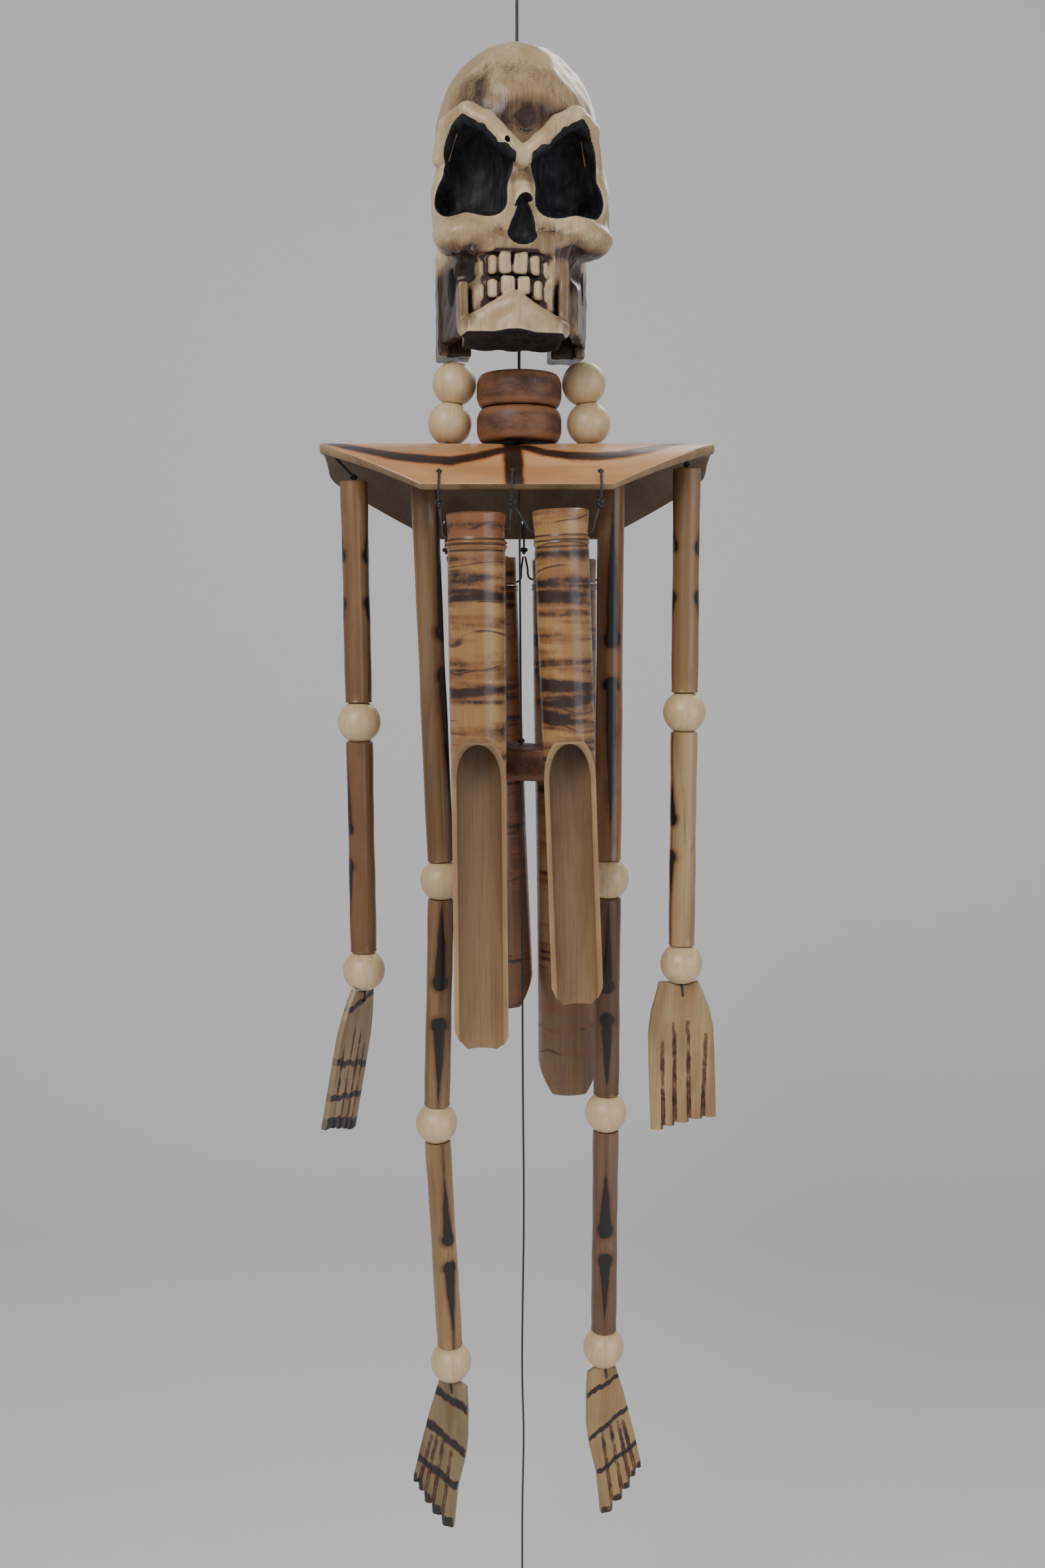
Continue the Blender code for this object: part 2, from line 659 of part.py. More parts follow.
def slat_outline(shape, mirrored):
    """A closed outline: notch under the bead, one side, the stepped tips, the other side."""
    first = math.atan2(shape["inner"][0][1], shape["inner"][0][0])
    last = math.atan2(shape["outer"][0][1], shape["outer"][0][0])
    notch = []
    for k in range(1, 5):
        turn = first + (last - first) * k / 5
        notch.append((SLAT_NOTCH_R * math.cos(turn), SLAT_NOTCH_R * math.sin(turn)))
    points = [*notch, *shape["outer"]]
    for low, high, z in shape["tips"]:
        points += [(low, z), (high, z)]
    points += shape["inner"][::-1]
    if mirrored:
        points = [(-x, z) for x, z in points]
    return points


def make_slat(name, kind, side, at):
    """A hand or a foot: a flat bamboo slat, stepped at its tips, notched under its bead."""
    shape = HAND if kind == "hand" else FOOT
    mirrored = (kind == "hand") == (side == "left")
    outline = slat_outline(shape, mirrored)
    obj = add_object(name, extruded_mesh(name, outline, SLAT_THICKNESS), "slat", smooth=False)
    tilt_x, tilt_y, turn = SLAT_TURNS[name]
    obj.rotation_mode = "XYZ"
    turned = Matrix.Rotation(tilt_y, 4, "Y") @ Matrix.Rotation(turn, 4, "Z")
    turned = Matrix.Rotation(tilt_x, 4, "X") @ turned
    return place(obj, at, turned.to_euler())


def limbs():
    """Two arms of two tubes and two legs of three."""
    for side, pivots in (("left", LEFT_ARM), ("right", RIGHT_ARM)):
        limb(side, "arm", pivots, ("upper_arm", "forearm"), ("elbow_bead", "wrist_bead"),
             "hand", "shoulder_tie")
    for side, pivots in (("left", LEFT_LEG), ("right", RIGHT_LEG)):
        limb(side, "leg", pivots, ("thigh", "shin", "lower_leg"),
             ("knee_bead", "shin_bead", "ankle_bead"), "foot", "hip_tie")


def chime_profile(radius, length, septum):
    """A culm closed by one septum near its top, with a raised ring outside the septum."""
    inner = radius - CHIME_WALL
    ring = radius * 1.035
    return [(0, -septum), (inner, -septum), (inner, 0), (radius, 0), (radius, 0.0012 - septum),
            (ring, -septum), (ring, -septum - 0.0015), (radius, -septum - 0.0030),
            (radius, -length), (inner, -length), (inner, -septum - 0.0040),
            (0, -septum - 0.0040)]


def scoop_mesh(radius, start, length, faces):
    """A cutter that opens one side of the tube: a slanting run-in, then straight down."""
    steps = 7
    run_in = 0.0280
    side = []
    for i in range(steps + 1):
        t = i / steps
        side.append((faces * radius * 1.04 * (1 - t) ** 1.3, -start - run_in * t))
    side += [(0, -length - 0.01), (faces * radius * 1.6, -length - 0.01),
             (faces * radius * 1.6, -start)]

    def build(bm):
        half = radius * 1.6
        left = [bm.verts.new((-half, y, z)) for y, z in side]
        right = [bm.verts.new((half, y, z)) for y, z in side]
        bm.faces.new(left)
        bm.faces.new(right[::-1])
        for i in range(len(side)):
            j = (i + 1) % len(side)
            bm.faces.new((left[i], right[i], right[j], left[j]))
    return mesh_from("scoop", build)


def chamfer_mesh(radius, side, height, length):
    """A cutter that takes one bottom corner off, seen from the front."""
    run = radius * 0.48
    outline = [(side * (radius + 0.0004), -length + height), (side * radius * 2, -length + height),
               (side * radius * 2, -length - 0.01), (side * (radius - run), -length - 0.01),
               (side * (radius - run), -length)]
    return extruded_mesh("chamfer", outline, radius * 4)


def chime_axes(spec):
    """The rim's centre, the length and the lean of a chime tube."""
    top = Vector((spec["rim"][0], spec["y"], spec["rim"][1]))
    foot = Vector((spec["foot"][0], spec["y"], spec["foot"][1]))
    along = foot - top
    return top, along.length, math.atan2(-along.x, -along.z)


def chime(name, spec):
    """One tuned bamboo tube: drilled for its cord, scooped on one side, cornered at its foot."""
    top, length, lean = chime_axes(spec)
    radius = spec["radius"]
    septum = max(spec["holes"]) + 0.0036
    mesh = turned_mesh(name, chime_profile(radius, length, septum), CHIME_SIDES, closed=False)
    mesh.transform(Matrix.Rotation(math.pi / CHIME_SIDES, 4, "Z"))
    obj = add_object(f"chime_{name}", mesh, "chime")
    cutters = [helper(scoop_mesh(radius, spec["scoop"], length, spec["faces"]))]
    for side, height, hole in zip((-1, 1), spec["chamfers"], spec["holes"]):
        cutters.append(helper(chamfer_mesh(radius, side, height, length)))
        drill = rod_mesh("drill", CHIME_HOLE_R, 0.009)
        cutters.append(helper(drill, (side * (radius - CHIME_WALL / 2), 0, -hole),
                              (0, math.pi / 2, 0)))
    obj = combine(obj, cutters, "DIFFERENCE")
    place(obj, top, (0, lean, 0))


def chime_cord(name, spec, knots, knot_yz):
    """One cord: from a knot, in at one side hole, across the tube and up to the next knot."""
    top, _, lean = chime_axes(spec)
    turn = Matrix.Rotation(lean, 3, "Y")
    radius = spec["radius"]
    holes = [top + turn @ Vector((side * radius, 0, -depth))
             for side, depth in zip((-1, 1), spec["holes"])]
    start_off = KNOT_R + THIN_CORD_D
    ends = []
    for x, hole, side in zip(knots, holes, (-1, 1)):
        knot = Vector((x, *knot_yz))
        outside = hole + turn @ Vector((side * 0.0014, 0, 0.0010))
        ends.append((knot + (outside - knot).normalized() * start_off, outside))
    (knot_a, out_a), (knot_b, out_b) = ends
    inward = (holes[1] - holes[0]) * 0.16
    route = [knot_a, knot_a.lerp(out_a, 0.5), out_a, holes[0] + inward, (holes[0] + holes[1]) / 2,
             holes[1] - inward, out_b, knot_b.lerp(out_b, 0.5), knot_b]
    cord(f"chime_cord_{name}", route, THIN_CORD_D, spacing=0.0042)


def chimes():
    """Two tubes in front and two behind, each on a cord between neighbouring knots."""
    rows = {"front": (FRONT_KNOT_X, FRONT_KNOT_YZ), "back": (BACK_KNOT_X, BACK_KNOT_YZ)}
    for name, spec in CHIMES.items():
        row, side = name.split("_")
        knots, knot_yz = rows[row]
        order = ("left", "middle") if side == "left" else ("middle", "right")
        chime(name, spec)
        chime_cord(name, spec, [knots[k] for k in order], knot_yz)


def striker_and_sail():
    """The disc that strikes the tubes, its cord, and the cord and sail that the wind moves."""
    start = CENTRE_KNOT_Z - KNOT_R - GAP
    middle = (start + STRIKER_TOP_Z) / 2
    cord("striker_cord", [(CENTRE_X, 0, start), ((CENTRE_X + STRIKER_X) / 2, 0, middle),
                          (STRIKER_X, 0, STRIKER_TOP_Z + GAP)], THIN_CORD_D, spacing=0.0060)
    at = (STRIKER_X, 0, STRIKER_TOP_Z - STRIKER_HEIGHT / 2)
    disc("striker", at, STRIKER_R, STRIKER_HEIGHT)
    low = STRIKER_TOP_Z - STRIKER_HEIGHT - GAP
    run = SAIL_TOP_Z - low
    route = [(STRIKER_X, 0, low), (0.0025, 0, low + run * 0.16), (0.0029, 0, low + run * 0.36),
             (0.0034, 0, low + run * 0.52), (0.0025, 0, low + run * 0.70),
             (0.0033, 0, low + run * 0.80), (SAIL_CORD_X, 0, low + run * 0.90),
             (SAIL_CORD_X, 0, SAIL_TOP_Z + GAP)]
    cord("sail_cord", route, THIN_CORD_D, spacing=0.0064)
    half = SAIL_WIDTH / 2
    outline = [(-0.0035, 0), (0.0035, 0), (half, -0.0120), (half, -SAIL_HEIGHT * 0.72),
               (0, -SAIL_HEIGHT), (-half, -SAIL_HEIGHT * 0.72), (-half, -0.0120)]
    sail = add_object("wind_sail", extruded_mesh("wind_sail", outline, SAIL_THICKNESS), "sail",
                      smooth=False)
    place(sail, (SAIL_CORD_X, 0, SAIL_TOP_Z))


def main():
    clear_scene()
    hanging_loop()
    hanging_cord()
    skull()
    neck()
    shoulder_plate()
    edge_loops()
    limbs()
    chimes()
    striker_and_sail()


main()
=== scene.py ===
"""Looks of the skeleton wind chime: carved skull, burnt bamboo, turned beads and black twine.

Metres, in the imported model's frame: +Z up, the face looks along -Y, and the origin is the inside
top of the hanging loop. Every new piece is built in place, so its object sits at the origin.
"""
import json
import math
from functools import reduce

import bmesh
import bpy
import numpy as np
from mathutils import Matrix, Vector

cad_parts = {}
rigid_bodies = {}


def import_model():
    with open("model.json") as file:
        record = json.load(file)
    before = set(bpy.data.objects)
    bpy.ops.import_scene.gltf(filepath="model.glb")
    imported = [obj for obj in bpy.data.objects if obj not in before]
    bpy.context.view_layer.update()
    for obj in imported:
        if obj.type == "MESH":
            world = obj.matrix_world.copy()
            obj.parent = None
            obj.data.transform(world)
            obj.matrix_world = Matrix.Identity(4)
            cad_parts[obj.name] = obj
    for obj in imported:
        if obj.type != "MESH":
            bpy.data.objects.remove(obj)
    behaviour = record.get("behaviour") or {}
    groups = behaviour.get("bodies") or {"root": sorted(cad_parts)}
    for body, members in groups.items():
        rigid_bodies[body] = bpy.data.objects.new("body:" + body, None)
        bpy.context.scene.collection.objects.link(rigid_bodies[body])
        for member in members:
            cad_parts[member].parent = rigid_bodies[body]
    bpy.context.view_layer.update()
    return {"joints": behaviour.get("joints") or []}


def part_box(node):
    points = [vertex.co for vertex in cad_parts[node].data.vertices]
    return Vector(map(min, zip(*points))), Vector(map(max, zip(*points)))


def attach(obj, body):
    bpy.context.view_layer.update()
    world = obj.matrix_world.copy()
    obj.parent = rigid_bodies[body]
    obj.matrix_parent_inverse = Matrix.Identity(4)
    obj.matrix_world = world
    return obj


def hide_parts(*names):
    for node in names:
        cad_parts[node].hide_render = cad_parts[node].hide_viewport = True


for leftover in list(bpy.data.objects):
    bpy.data.objects.remove(leftover, do_unlink=True)
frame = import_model()
PIVOT = {joint["name"]: Vector(joint["pos_m"]) for joint in frame["joints"] if "pos_m" in joint}

MM = 0.001
GAP = 0.0003
SIDES = ("left", "right")

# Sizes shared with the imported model
MAIN_CORD_D = 0.0016
TIE_CORD_D = 0.0015
THIN_CORD_D = 0.0011
AXIS_R = 0.00001
KNOT_R = 0.0022
LOOP_KNOT_R = 0.0036
BEAD_R = 0.0110
BEAD_HALF_HEIGHT = 0.00975
BEAD_REACH = BEAD_HALF_HEIGHT + GAP
LIMB_R = 0.0070
TIE_REACH = 0.0019
TIE_STOP_R = 0.0017
TIE_STOP_DEPTH = 0.0019
TIE_SINK_R = 0.0021
TIE_SINK_DEPTH = 0.0040
CORD_HOLE_R = 0.0014
PLATE_R = 0.0480
PLATE_WALL = 0.0050
PLATE_PITCH = math.radians(13)
PLATE_HALF_ARC = math.radians(73)
PLATE_TOP_Z = -0.2468
PLATE_HALF_LENGTH = 0.0980
PLATE_AXIS_Z = PLATE_TOP_Z - PLATE_R
CENTRE_X = 0.0010
SKULL_TOP = Vector((-0.0006, 0.0, -0.0600))
SKULL_TURN = math.radians(7)
FRONT_KNOT_YZ = (-0.0405, -0.2790)
BACK_KNOT_YZ = (0.0455, -0.2970)
FRONT_KNOT_X = {"left": -0.0370, "middle": -0.0022, "right": 0.0400}
BACK_KNOT_X = {"left": -0.0385, "middle": 0.0035, "right": 0.0450}
CENTRE_KNOT_Z = -0.2548
TIE_HOLE_X = {"left_shoulder": -0.0915, "right_shoulder": 0.0850, "left_hip": -0.0470,
              "right_hip": 0.0472}
FRONT_HOLE_ANGLE = math.radians(-50)
BACK_HOLE_ANGLE = math.radians(74)
STRIKER_X = 0.0020
STRIKER_LOW_Z = -0.4145
SAIL_X = 0.0026
SAIL_TOP_Z = -0.8680


# ---------------------------------------------------------------- stage and camera

def add_camera():
    """The photograph's viewpoint: 0.69 m in front of the limbs, looking down a little."""
    data = bpy.data.cameras.new("camera")
    data.lens = 31.07
    data.sensor_width = 36.0
    camera = link_object("camera", data)
    camera.location = (0.0027, -0.694, -0.336)
    camera.rotation_euler = (math.radians(90 - 6.77), 0, 0)
    bpy.context.scene.camera = camera


def add_light(name, location, size, power, color, spread=180):
    """A soft square light that faces the middle of the chime."""
    data = bpy.data.lights.new(name, "AREA")
    data.size = size
    data.energy = power
    data.color = color
    data.spread = math.radians(spread)
    light = link_object(name, data)
    light.location = location
    towards = Vector((0, 0, -0.42)) - Vector(location)
    light.rotation_euler = towards.to_track_quat("-Z", "Y").to_euler()


def add_stage():
    """A pale floor that curves up behind into a pale wall, and three soft lights."""
    mesh = bpy.data.meshes.new("backdrop")
    floor_z, bend_y, bend_r = -1.02, 0.75, 0.45
    profile = [(-3.0, floor_z), (bend_y, floor_z)]
    for step in range(1, 13):
        turn = math.pi / 2 * step / 12
        profile.append((bend_y + bend_r * math.sin(turn), floor_z + bend_r * (1 - math.cos(turn))))
    profile.append((bend_y + bend_r, 2.2))
    verts = [(x, y, z) for y, z in profile for x in (-4.0, 4.0)]
    faces = [(2 * i, 2 * i + 1, 2 * i + 3, 2 * i + 2) for i in range(len(profile) - 1)]
    mesh.from_pydata(verts, [], faces)
    mesh.shade_smooth()
    backdrop = link_object("backdrop", mesh)
    wall = Graph("backdrop")
    wall.set(("Base Color", (0.76, 0.745, 0.76, 1)), ("Roughness", 0.9))
    mesh.materials.append(wall.material)
    add_light("key", (-0.75, -1.30, 0.55), 0.9, 21, (1.0, 0.96, 0.90))
    add_light("fill", (1.25, -1.05, -0.15), 1.2, 10, (0.93, 0.95, 1.0))
    add_light("rim", (0.5, 0.8, 0.5), 0.7, 1.2, (1.0, 0.98, 0.95), spread=70)
    world = bpy.data.worlds.new("studio")
    world.use_nodes = True
    sky = world.node_tree.nodes["Background"].inputs
    sky["Color"].default_value = (0.80, 0.81, 0.84, 1)
    sky["Strength"].default_value = 0.42
    bpy.context.scene.world = world


# ---------------------------------------------------------------- material graphs

class Graph:
    """A material's node tree, built with short calls that return sockets."""

    def __init__(self, name):
        self.material = bpy.data.materials.new(name)
        self.material.use_nodes = True
        self.tree = self.material.node_tree
        self.shader = self.tree.nodes["Principled BSDF"]

    def feed(self, socket, value):
        """Link a socket's value, or set a constant."""
        if isinstance(value, bpy.types.NodeSocket):
            self.tree.links.new(value, socket)
        else:
            socket.default_value = value

    def set(self, *pairs):
        """Set the shader's own sockets."""
        for name, value in pairs:
            self.feed(self.shader.inputs[name], value)

    def place(self):
        """The surface's own coordinates, in metres."""
        return self.tree.nodes.new("ShaderNodeTexCoord").outputs["Object"]

    def attribute(self, name):
        """A number painted on the mesh's vertices."""
        node = self.tree.nodes.new("ShaderNodeAttribute")
        node.attribute_name = name
        return node.outputs["Fac"]

    def math(self, operation, a, b=0.0):
        """One sum."""
        node = self.tree.nodes.new("ShaderNodeMath")
        node.operation = operation
        self.feed(node.inputs[0], a)
        self.feed(node.inputs[1], b)
        return node.outputs[0]

    def add(self, a, b):
        """a + b"""
        return self.math("ADD", a, b)

    def sub(self, a, b):
        """a - b"""
        return self.math("SUBTRACT", a, b)

    def mul(self, a, b):
        """a * b"""
        return self.math("MULTIPLY", a, b)

    def peak(self, a, b):
        """The larger of a and b"""
        return self.math("MAXIMUM", a, b)

    def sway(self, value, noise, gain, centre=0.5):
        """A value moved up and down by noise."""
        return self.add(value, self.mul(self.sub(noise, centre), gain))

    def noise(self, stretch, detail=3.0, roughness=0.5, distortion=0.0, shift=0.0):
        """Noise from 0 to 1, with so many lumps in a metre along X, Y and Z."""
        scaled = self.tree.nodes.new("ShaderNodeMapping")
        self.feed(scaled.inputs["Vector"], self.place())
        scaled.inputs["Location"].default_value = (shift, shift * 1.7, shift * 0.6)
        scaled.inputs["Scale"].default_value = stretch
        node = self.tree.nodes.new("ShaderNodeTexNoise")
        self.feed(node.inputs["Vector"], scaled.outputs[0])
        node.inputs["Scale"].default_value = 1.0
        node.inputs["Detail"].default_value = detail
        node.inputs["Roughness"].default_value = roughness
        node.inputs["Distortion"].default_value = distortion
        return node.outputs["Fac"]

    def step(self, value, low, high):
        """A smooth step from 0 at low to 1 at high. It falls if low is above high."""
        node = self.tree.nodes.new("ShaderNodeMapRange")
        node.interpolation_type = "SMOOTHSTEP"
        self.feed(node.inputs["Value"], value)
        falls = low > high
        node.inputs["From Min"].default_value = min(low, high)
        node.inputs["From Max"].default_value = max(low, high)
        node.inputs["To Min"].default_value = 1.0 if falls else 0.0
        node.inputs["To Max"].default_value = 0.0 if falls else 1.0
        return node.outputs["Result"]

    def mix(self, factor, a, b):
        """Blend two colours."""
        node = self.tree.nodes.new("ShaderNodeMix")
        node.data_type = "RGBA"
        self.feed(node.inputs["Factor"], factor)
        self.feed(node.inputs["A"], a if isinstance(a, bpy.types.NodeSocket) else (*a, 1))
        self.feed(node.inputs["B"], b if isinstance(b, bpy.types.NodeSocket) else (*b, 1))
        return node.outputs["Result"]

    def tint(self, colour, target, strength, value, low, high):
        """Blend a colour towards another where a value steps from low to high."""
        return self.mix(self.mul(self.step(value, low, high), strength), colour, target)

    def finish(self, colour, roughness, coat, coat_roughness, specular, *layers):
        """Set the shader's sockets and return the finished material.

        layers raise the surface by (height, strength, depth in metres), finest last.
        """
        self.set(("Base Color", colour), ("Roughness", roughness), ("Coat Weight", coat),
                 ("Coat Roughness", coat_roughness), ("Specular IOR Level", specular))
        normal = None
        for height, strength, distance in layers:
            node = self.tree.nodes.new("ShaderNodeBump")
            node.inputs["Strength"].default_value = strength
            node.inputs["Distance"].default_value = distance
            self.feed(node.inputs["Height"], height)
            if normal:
                self.feed(node.inputs["Normal"], normal)
            normal = node.outputs[0]
        self.feed(self.shader.inputs["Normal"], normal)
        return self.material


def dimmed(colour, red, green=None, blue=None):
    """A colour with its channels cut to shares; one share serves for all three."""
    shares = (red, red if green is None else green, red if blue is None else blue)
    return tuple(channel * share for channel, share in zip(colour, shares))


def twine():
    """Black waxed twine: short fibres that catch a little light."""
    g = Graph("twine")
    fibres = g.noise((2600, 2600, 900), detail=4, distortion=1.5)
    g.set(("Sheen Weight", 0.15))
    return g.finish(g.mix(fibres, (0.004, 0.004, 0.005), (0.030, 0.029, 0.032)),
                    g.step(fibres, -0.6, 1.8), 0.0, 0.03, 0.5, (fibres, 0.5, 0.0003))


def bead_wood():
    """Pale turned wood under a thin lacquer, with long faint grain, a few pores and painted shade
    in and round the bore.
    """
    g = Graph("bead_wood")
    grain = g.noise((420, 60, 80), detail=5, roughness=0.6, distortion=0.8)
    pores = g.noise((1500, 300, 360), detail=2)
    cloud = g.noise((70, 70, 70), detail=3)
    colour = g.mix(g.step(grain, 0.28, 0.74), (0.555, 0.400, 0.215), (0.655, 0.500, 0.295))
    colour = g.tint(colour, (0.52, 0.36, 0.18), 0.45, cloud, 0.42, 0.75)
    colour = g.tint(colour, (0.33, 0.20, 0.09), 0.35, pores, 0.64, 0.74)
    # painted shade: dark in the bead's bore and round its lips
    colour = g.mix(g.attribute("wear_and_bore_shade"), colour, (0.16, 0.085, 0.035))
    return g.finish(colour, g.step(grain, -0.8, 2.2), 0.20, 0.25, 0.45,
                    (grain, 0.12, 0.0004), (pores, 0.10, 0.0002))


def disc_wood():
    """Dark red-brown stained wood with fine grain, worn to warm brown on its rounded edges."""
    g = Graph("disc_wood")
    mottle = g.noise((75, 75, 130), detail=5, roughness=0.62, distortion=0.6)
    grain = g.noise((130, 130, 1100), detail=4, roughness=0.6)
    flecks = g.noise((1500, 700, 700), detail=2)
    colour = g.mix(g.step(mottle, 0.32, 0.70), (0.060, 0.022, 0.013), (0.200, 0.078, 0.036))
    colour = g.tint(colour, (0.030, 0.012, 0.008), 0.40, grain, 0.48, 0.72)
    colour = g.tint(colour, (0.36, 0.19, 0.10), 0.25, flecks, 0.60, 0.74)
    colour = g.mix(g.attribute("wear_and_bore_shade"), colour, (0.33, 0.150, 0.070))
    colour = g.mix(g.attribute("end"), colour, (0.035, 0.014, 0.009))
    return g.finish(colour, g.step(mottle, -0.9, 1.7), 0.15, 0.3, 0.4,
                    (mottle, 0.2, 0.0006), (grain, 0.2, 0.0003))


BURNT = (0.0075, 0.0042, 0.0036)
CHAR_EDGE = (0.105, 0.036, 0.013)
SMOKED = (0.200, 0.078, 0.030)
SMOKED_DARK = (0.020, 0.0095, 0.0095)


def bamboo(name, pale, deep, burns, length, shift):
    """Varnished bamboo skin of a limb, with fine fibres and torch burns.

    Each burn is a pair of round drops whose tails point away from each other along the tube, given
    as (degrees round the tube, heights of both drops over its lower end, tail, half width).
    """
    g = Graph(name)
    tone = g.noise((80, 80, 8), detail=4, roughness=0.55, distortion=0.4, shift=shift)
    broad = g.noise((26, 26, 9), detail=2, shift=shift + 3)
    fibres = g.noise((1500, 1500, 22), detail=2, shift=shift)
    mottle = g.noise((300, 300, 130), detail=4, roughness=0.6, shift=shift + 5)
    sweep = g.noise((110, 110, 22), detail=2, distortion=0.5, shift=shift + 11)
    colour = g.mix(g.step(tone, 0.30, 0.68), deep, pale)
    colour = g.tint(colour, deep, 0.60, broad, 0.44, 0.66)
    colour = g.tint(colour, dimmed(deep, 0.40), 0.22, fibres, 0.35, 0.75)
    colour = g.tint(colour, CHAR_EDGE, 0.55, sweep, 0.56, 0.74)
    along, across, depth = (g.attribute(part) for part in ("along", "across", "depth"))
    marks = []
    for turn, low, high, tail, half in burns:
        turn = math.radians(turn)
        side = g.sub(across, LIMB_R * math.sin(turn))
        front = g.add(depth, LIMB_R * math.cos(turn))
        chord = g.add(g.mul(side, side), g.mul(front, front))
        past = g.math("ABSOLUTE", g.sub(along, length - 0.5 * (low + high)))
        past = g.sub(past, 0.5 * (high - low))
        reach = g.math("SQRT", g.add(chord, g.mul(past, past)))
        drop = g.sub(1.0, g.math("DIVIDE", reach, 1.25 * half))
        taper = g.mul(g.step(past, tail, 0.0), 0.85)
        streak = g.sub(taper, g.math("DIVIDE", g.math("SQRT", chord), half))
        marks.append(g.peak(drop, g.sub(streak, g.step(past, 0.0, -0.002))))
    level = g.sway(g.sway(reduce(g.peak, marks), mottle, 0.45), sweep, 0.70)
    colour = g.tint(colour, CHAR_EDGE, 0.75, level, -0.75, 0.0)
    colour = g.mix(g.step(level, -0.12, 0.12), colour, BURNT)
    return g.finish(colour, g.step(mottle, -0.9, 2.2), 0.35, 0.16, 0.4,
                    (tone, 0.10, 0.0010), (fibres, 0.10, 0.00025))


def tiger_bamboo(name, pale, deep, bands, fade, lines, clear, top_red, shift, rings, groove_shades):
    """Varnished skin of a chime: smoky bands and thin curved lines that run round the tube.

    bands and lines run from 0, none, to 1, dense, and fade is how much the bands thin out in each
    metre. clear keeps smoke off the collar. In metres from the rim: top_red is the end of the
    collar's red-brown, rings are burns as (along, half width), and the last list holds the places
    of thin lines of painted shade in the grooves of the node's double ring.
    """
    g = Graph(name)
    along = g.attribute("along")
    tone = g.noise((60, 60, 9), detail=4, roughness=0.55, distortion=0.4, shift=shift)
    fibres = g.noise((1300, 1300, 20), detail=2, shift=shift)
    mottle = g.noise((210, 210, 260), detail=4, roughness=0.62, shift=shift + 5)
    grit = g.noise((900, 900, 500), detail=2, shift=shift + 6)
    smoke = g.noise((14, 14, 150), detail=2, distortion=0.3, shift=shift + 9)
    colour = g.mix(g.step(tone, 0.30, 0.70), deep, pale)
    colour = g.tint(colour, dimmed(deep, 0.45), 0.18, fibres, 0.35, 0.75)
    colour = g.tint(colour, (0.215, 0.083, 0.034), 0.85, along, top_red * 1.5, top_red * 0.6)
    level = g.sub(g.sub(smoke, 0.645 - 0.16 * bands), g.mul(along, fade))
    level = g.sub(level, g.mul(g.step(along, 0.016, 0.010), clear))
    for place, half in rings:
        off = g.sub(g.math("ABSOLUTE", g.sub(along, place)), g.sway(0.0, smoke, half * 3.0))
        ring = g.mul(g.sub(half, off), 40.0)
        level = g.peak(level, g.math("MINIMUM", ring, 0.20))
    level = g.sway(g.sway(level, mottle, 0.22), grit, 0.07)
    colour = g.tint(colour, SMOKED, 0.75, level, -0.13, 0.03)
    colour = g.tint(colour, SMOKED_DARK, 0.95, level, -0.01, 0.13)
    curves = g.noise((17, 17, 26), detail=1.5, distortion=0.2, shift=shift + 21)
    saw = g.math("FRACT", g.add(g.mul(along, 85.0), g.mul(curves, 3.4)))
    line = g.step(g.math("ABSOLUTE", g.sub(saw, 0.5)), 0.055, 0.012)
    ends = g.noise((34, 34, 60), detail=1, shift=shift + 25)
    line = g.mul(line, g.step(ends, 0.60 - 0.20 * lines, 0.66 - 0.20 * lines))
    colour = g.mix(g.mul(line, 0.85), colour, (0.045, 0.017, 0.010))
    # painted shade: thin dark lines in the grooves of the node's double ring
    for place in groove_shades:
        off = g.math("ABSOLUTE", g.sub(g.sway(along, smoke, 0.0012), place))
        colour = g.tint(colour, (0.035, 0.014, 0.010), 0.85, off, 0.00075, 0.0002)
    return g.finish(colour, g.step(mottle, -0.8, 2.2), 0.35, 0.17, 0.4,
                    (tone, 0.10, 0.0010), (mottle, 0.08, 0.0004), (fibres, 0.10, 0.00025))


def cut_bamboo(name, pale, deep, shift):
    """Bamboo where it is sawn or carved: pale fibres, darker pith and tool marks."""
    g = Graph(name)
    fibres = g.noise((1300, 1300, 26), detail=4, roughness=0.6, shift=shift)
    tone = g.noise((60, 60, 16), detail=4, distortion=0.5, shift=shift + 2)
    chatter = g.noise((40, 40, 420), detail=2, shift=shift + 7)
    colour = g.mix(g.step(tone, 0.32, 0.68), deep, pale)
    colour = g.tint(colour, dimmed(deep, 0.5), 0.5, fibres, 0.50, 0.72)
    colour = g.mix(g.attribute("shade"), colour, (0.035, 0.017, 0.008))
    return g.finish(colour, g.step(fibres, -1.2, 1.6), 0.18, 0.3, 0.5,
                    (chatter, 0.10, 0.0006), (fibres, 0.25, 0.0003))


def plate_bamboo():
    """The shoulder plate's skin: orange-tan, with scorched bands that have warm haloes."""
    g = Graph("plate_bamboo")
    tone = g.noise((10, 60, 60), detail=4, distortion=0.5)
    fibres = g.noise((24, 1300, 1300), detail=2)
    ragged = g.noise((150, 240, 240), detail=4, roughness=0.62)
    mottle = g.noise((55, 75, 75), detail=4, distortion=1.0)
    colour = g.mix(g.step(tone, 0.30, 0.70), (0.45, 0.215, 0.085), (0.66, 0.385, 0.185))
    colour = g.tint(colour, (0.24, 0.10, 0.04), 0.22, fibres, 0.40, 0.75)
    burn_and_groove_shade = g.sway(g.sway(g.attribute("scorch_and_groove_shade"), ragged, 0.55), mottle, 0.35)
    colour = g.mix(g.step(burn_and_groove_shade, 0.05, 0.42), colour, (0.42, 0.155, 0.042))
    colour = g.mix(g.step(burn_and_groove_shade, 0.40, 0.62), colour, (0.115, 0.038, 0.014))
    colour = g.mix(g.step(burn_and_groove_shade, 0.60, 0.85), colour, (0.030, 0.013, 0.008))
    return g.finish(colour, g.step(ragged, -0.8, 2.4), 0.15, 0.30, 0.5,
                    (tone, 0.12, 0.0010), (fibres, 0.15, 0.0003))


